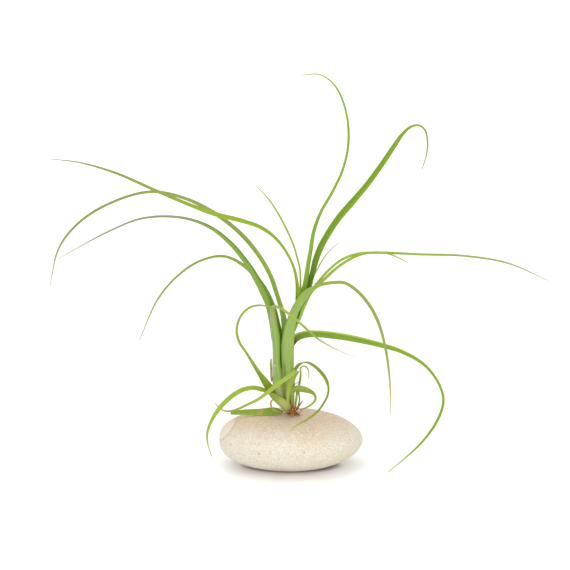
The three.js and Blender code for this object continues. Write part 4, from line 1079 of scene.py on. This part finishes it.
# painted light for a crease the shape doesn't have: a paler rim as painted highlight, then a dark line as
# painted shade
rim = times(tree, fade(tree, crease, -0.0556, -0.0548, 1.0, 0.0), in_front)
colour = blend_colour(tree, rim, colour, (0.78, 0.74, 0.64))
painted_crease_shade = times(tree, window(tree, crease, -0.0548, -0.0546, 0.0007), in_front)
colour = blend_colour(tree, painted_crease_shade, colour, (0.44, 0.36, 0.25))
print("stone has", len(tree.nodes), "nodes with its marks")

# %% [markdown]
# The pits are darker and lower than the sand round them, and they finish the stone.

# %% Pits and relief
pits = add(tree, "ShaderNodeTexVoronoi", Scale=110)
link(tree, place, pits.inputs["Vector"])
pit = fade(tree, pits.outputs["Distance"], 0.03, 0.075, 1.0, 0.0)
colour = blend_colour(tree, times(tree, pit, 0.5), colour, (0.36, 0.27, 0.17))
link(tree, colour, shader.inputs["Base Color"])
shader.inputs["Roughness"].default_value = 0.82
relief = math_node(tree, "SUBTRACT", times(tree, sand, 0.6), pit)
raise_by(tree, shader, relief, 0.55, 0.00025)
stone.data.materials.append(material)
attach(stone, "root")
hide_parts("pebble")
print("stone finished")

# %% [markdown]
# ## Table, light and camera
# The plant stands on a plain white table that curves up behind it, like a roll of paper. A flat plane
# would do for the front, but its far edge would show as a horizon, so a grid is bent instead.

# %% The table
FRONT_EDGE, TABLE_RUN, HALF_WIDTH = -1.4, 4.2, 3
BEND_START, BEND = 1.4, 0.8
bpy.ops.object.select_all(action="DESELECT")
bpy.ops.mesh.primitive_grid_add(x_subdivisions=4, y_subdivisions=24, size=2)
table = bpy.context.object
table.name = table.data.name = "white_table"
for v in table.data.vertices:
    run = (v.co.y + 1) / 2 * TABLE_RUN + FRONT_EDGE
    turn = min(max(run - BEND_START, 0) / BEND, math.pi / 2)
    up = BEND * (1 - math.cos(turn)) + max(0, run - BEND_START - BEND * math.pi / 2)
    v.co = Vector((v.co.x * HALF_WIDTH, min(run, BEND_START) + BEND * math.sin(turn), up))
smooth(table, 80)
print("table reaches", [round(d, 2) for d in table.dimensions], "m")

# %% [markdown]
# The table is plain white, apart from a contact shadow painted dark into its colour where the stone
# touches it. It glows a little more towards the back, so that the background stays white.

# %% The table's surface
PAINTED_SHADOW_OVAL = (0.062, 0.030)  # metres to the right and to the back at which far is 1
paper_white, tree, shader = new_material("white_table_top")
shader.inputs["Roughness"].default_value = 0.7
shader.inputs["Specular IOR Level"].default_value = 0.1
shader.inputs["Emission Color"].default_value = (1, 1, 1, 1)
split = add(tree, "ShaderNodeSeparateXYZ")
spread = object_place(tree)
link(tree, spread, split.inputs[0])
link(tree, fade(tree, split.outputs["Y"], 0.1, 1.6, 0.09, 0.30), shader.inputs["Emission Strength"])
oval = add(tree, "ShaderNodeMapping", Scale=(1 / PAINTED_SHADOW_OVAL[0], 1 / PAINTED_SHADOW_OVAL[1], 0))
link(tree, spread, oval.inputs["Vector"])
far = add(tree, "ShaderNodeVectorMath", operation="LENGTH")
link(tree, oval.outputs["Vector"], far.inputs[0])
# painted contact shadow: the table's colour is dark inside this oval round the stone's foot, white outside it
clear_of_painted_shadow = fade(tree, far.outputs["Value"], 0.37, 0.50)
white = blend_colour(tree, clear_of_painted_shadow, (0.12, 0.108, 0.098), (0.90, 0.895, 0.886))
link(tree, white, shader.inputs["Base Color"])
table.data.materials.append(paper_white)
print("table has", table.data.materials[0].name)

# %% [markdown]
# The light is soft and comes from all round: a bright white world, one wide softbox in front and one above.


# %% Light
def softbox(name, at_point, towards, width, height, power_w):
    bpy.ops.object.light_add(type="AREA", location=at_point)
    light = bpy.context.object
    light.name = name
    light.data.shape = "RECTANGLE"
    light.data.size, light.data.size_y = width, height
    light.data.energy = power_w
    light.rotation_euler = (Vector(towards) - Vector(at_point)).to_track_quat("-Z", "Y").to_euler()


world = bpy.data.worlds.new("studio_white")
bpy.context.scene.world = world
world.use_nodes = True
world.node_tree.nodes["Background"].inputs["Color"].default_value = (1, 1, 1, 1)
world.node_tree.nodes["Background"].inputs["Strength"].default_value = 0.8
softbox("front_softbox", (-0.15, -1.5, 0.85), (0, 0, 0.1), 2.2, 1.1, 14)
softbox("top_softbox", (-0.1, 0.1, 1.7), (0, 0, 0), 1.4, 1.4, 8)

# %% [markdown]
# The camera looks slightly down from the front with a long lens.

# %% Camera
CAMERA_AT = (-0.0034533, -0.7853017, 0.2582425)
LOOK_DOWN = 11
bpy.ops.object.camera_add(location=CAMERA_AT, rotation=(math.radians(90 - LOOK_DOWN), 0, 0))
camera = bpy.context.object
camera.name = "front_camera"
camera.data.lens = 90
camera.data.sensor_width = 36
bpy.context.scene.camera = camera
bpy.context.scene.view_settings.view_transform = "Standard"
print("camera looks down by", LOOK_DOWN, "degrees")
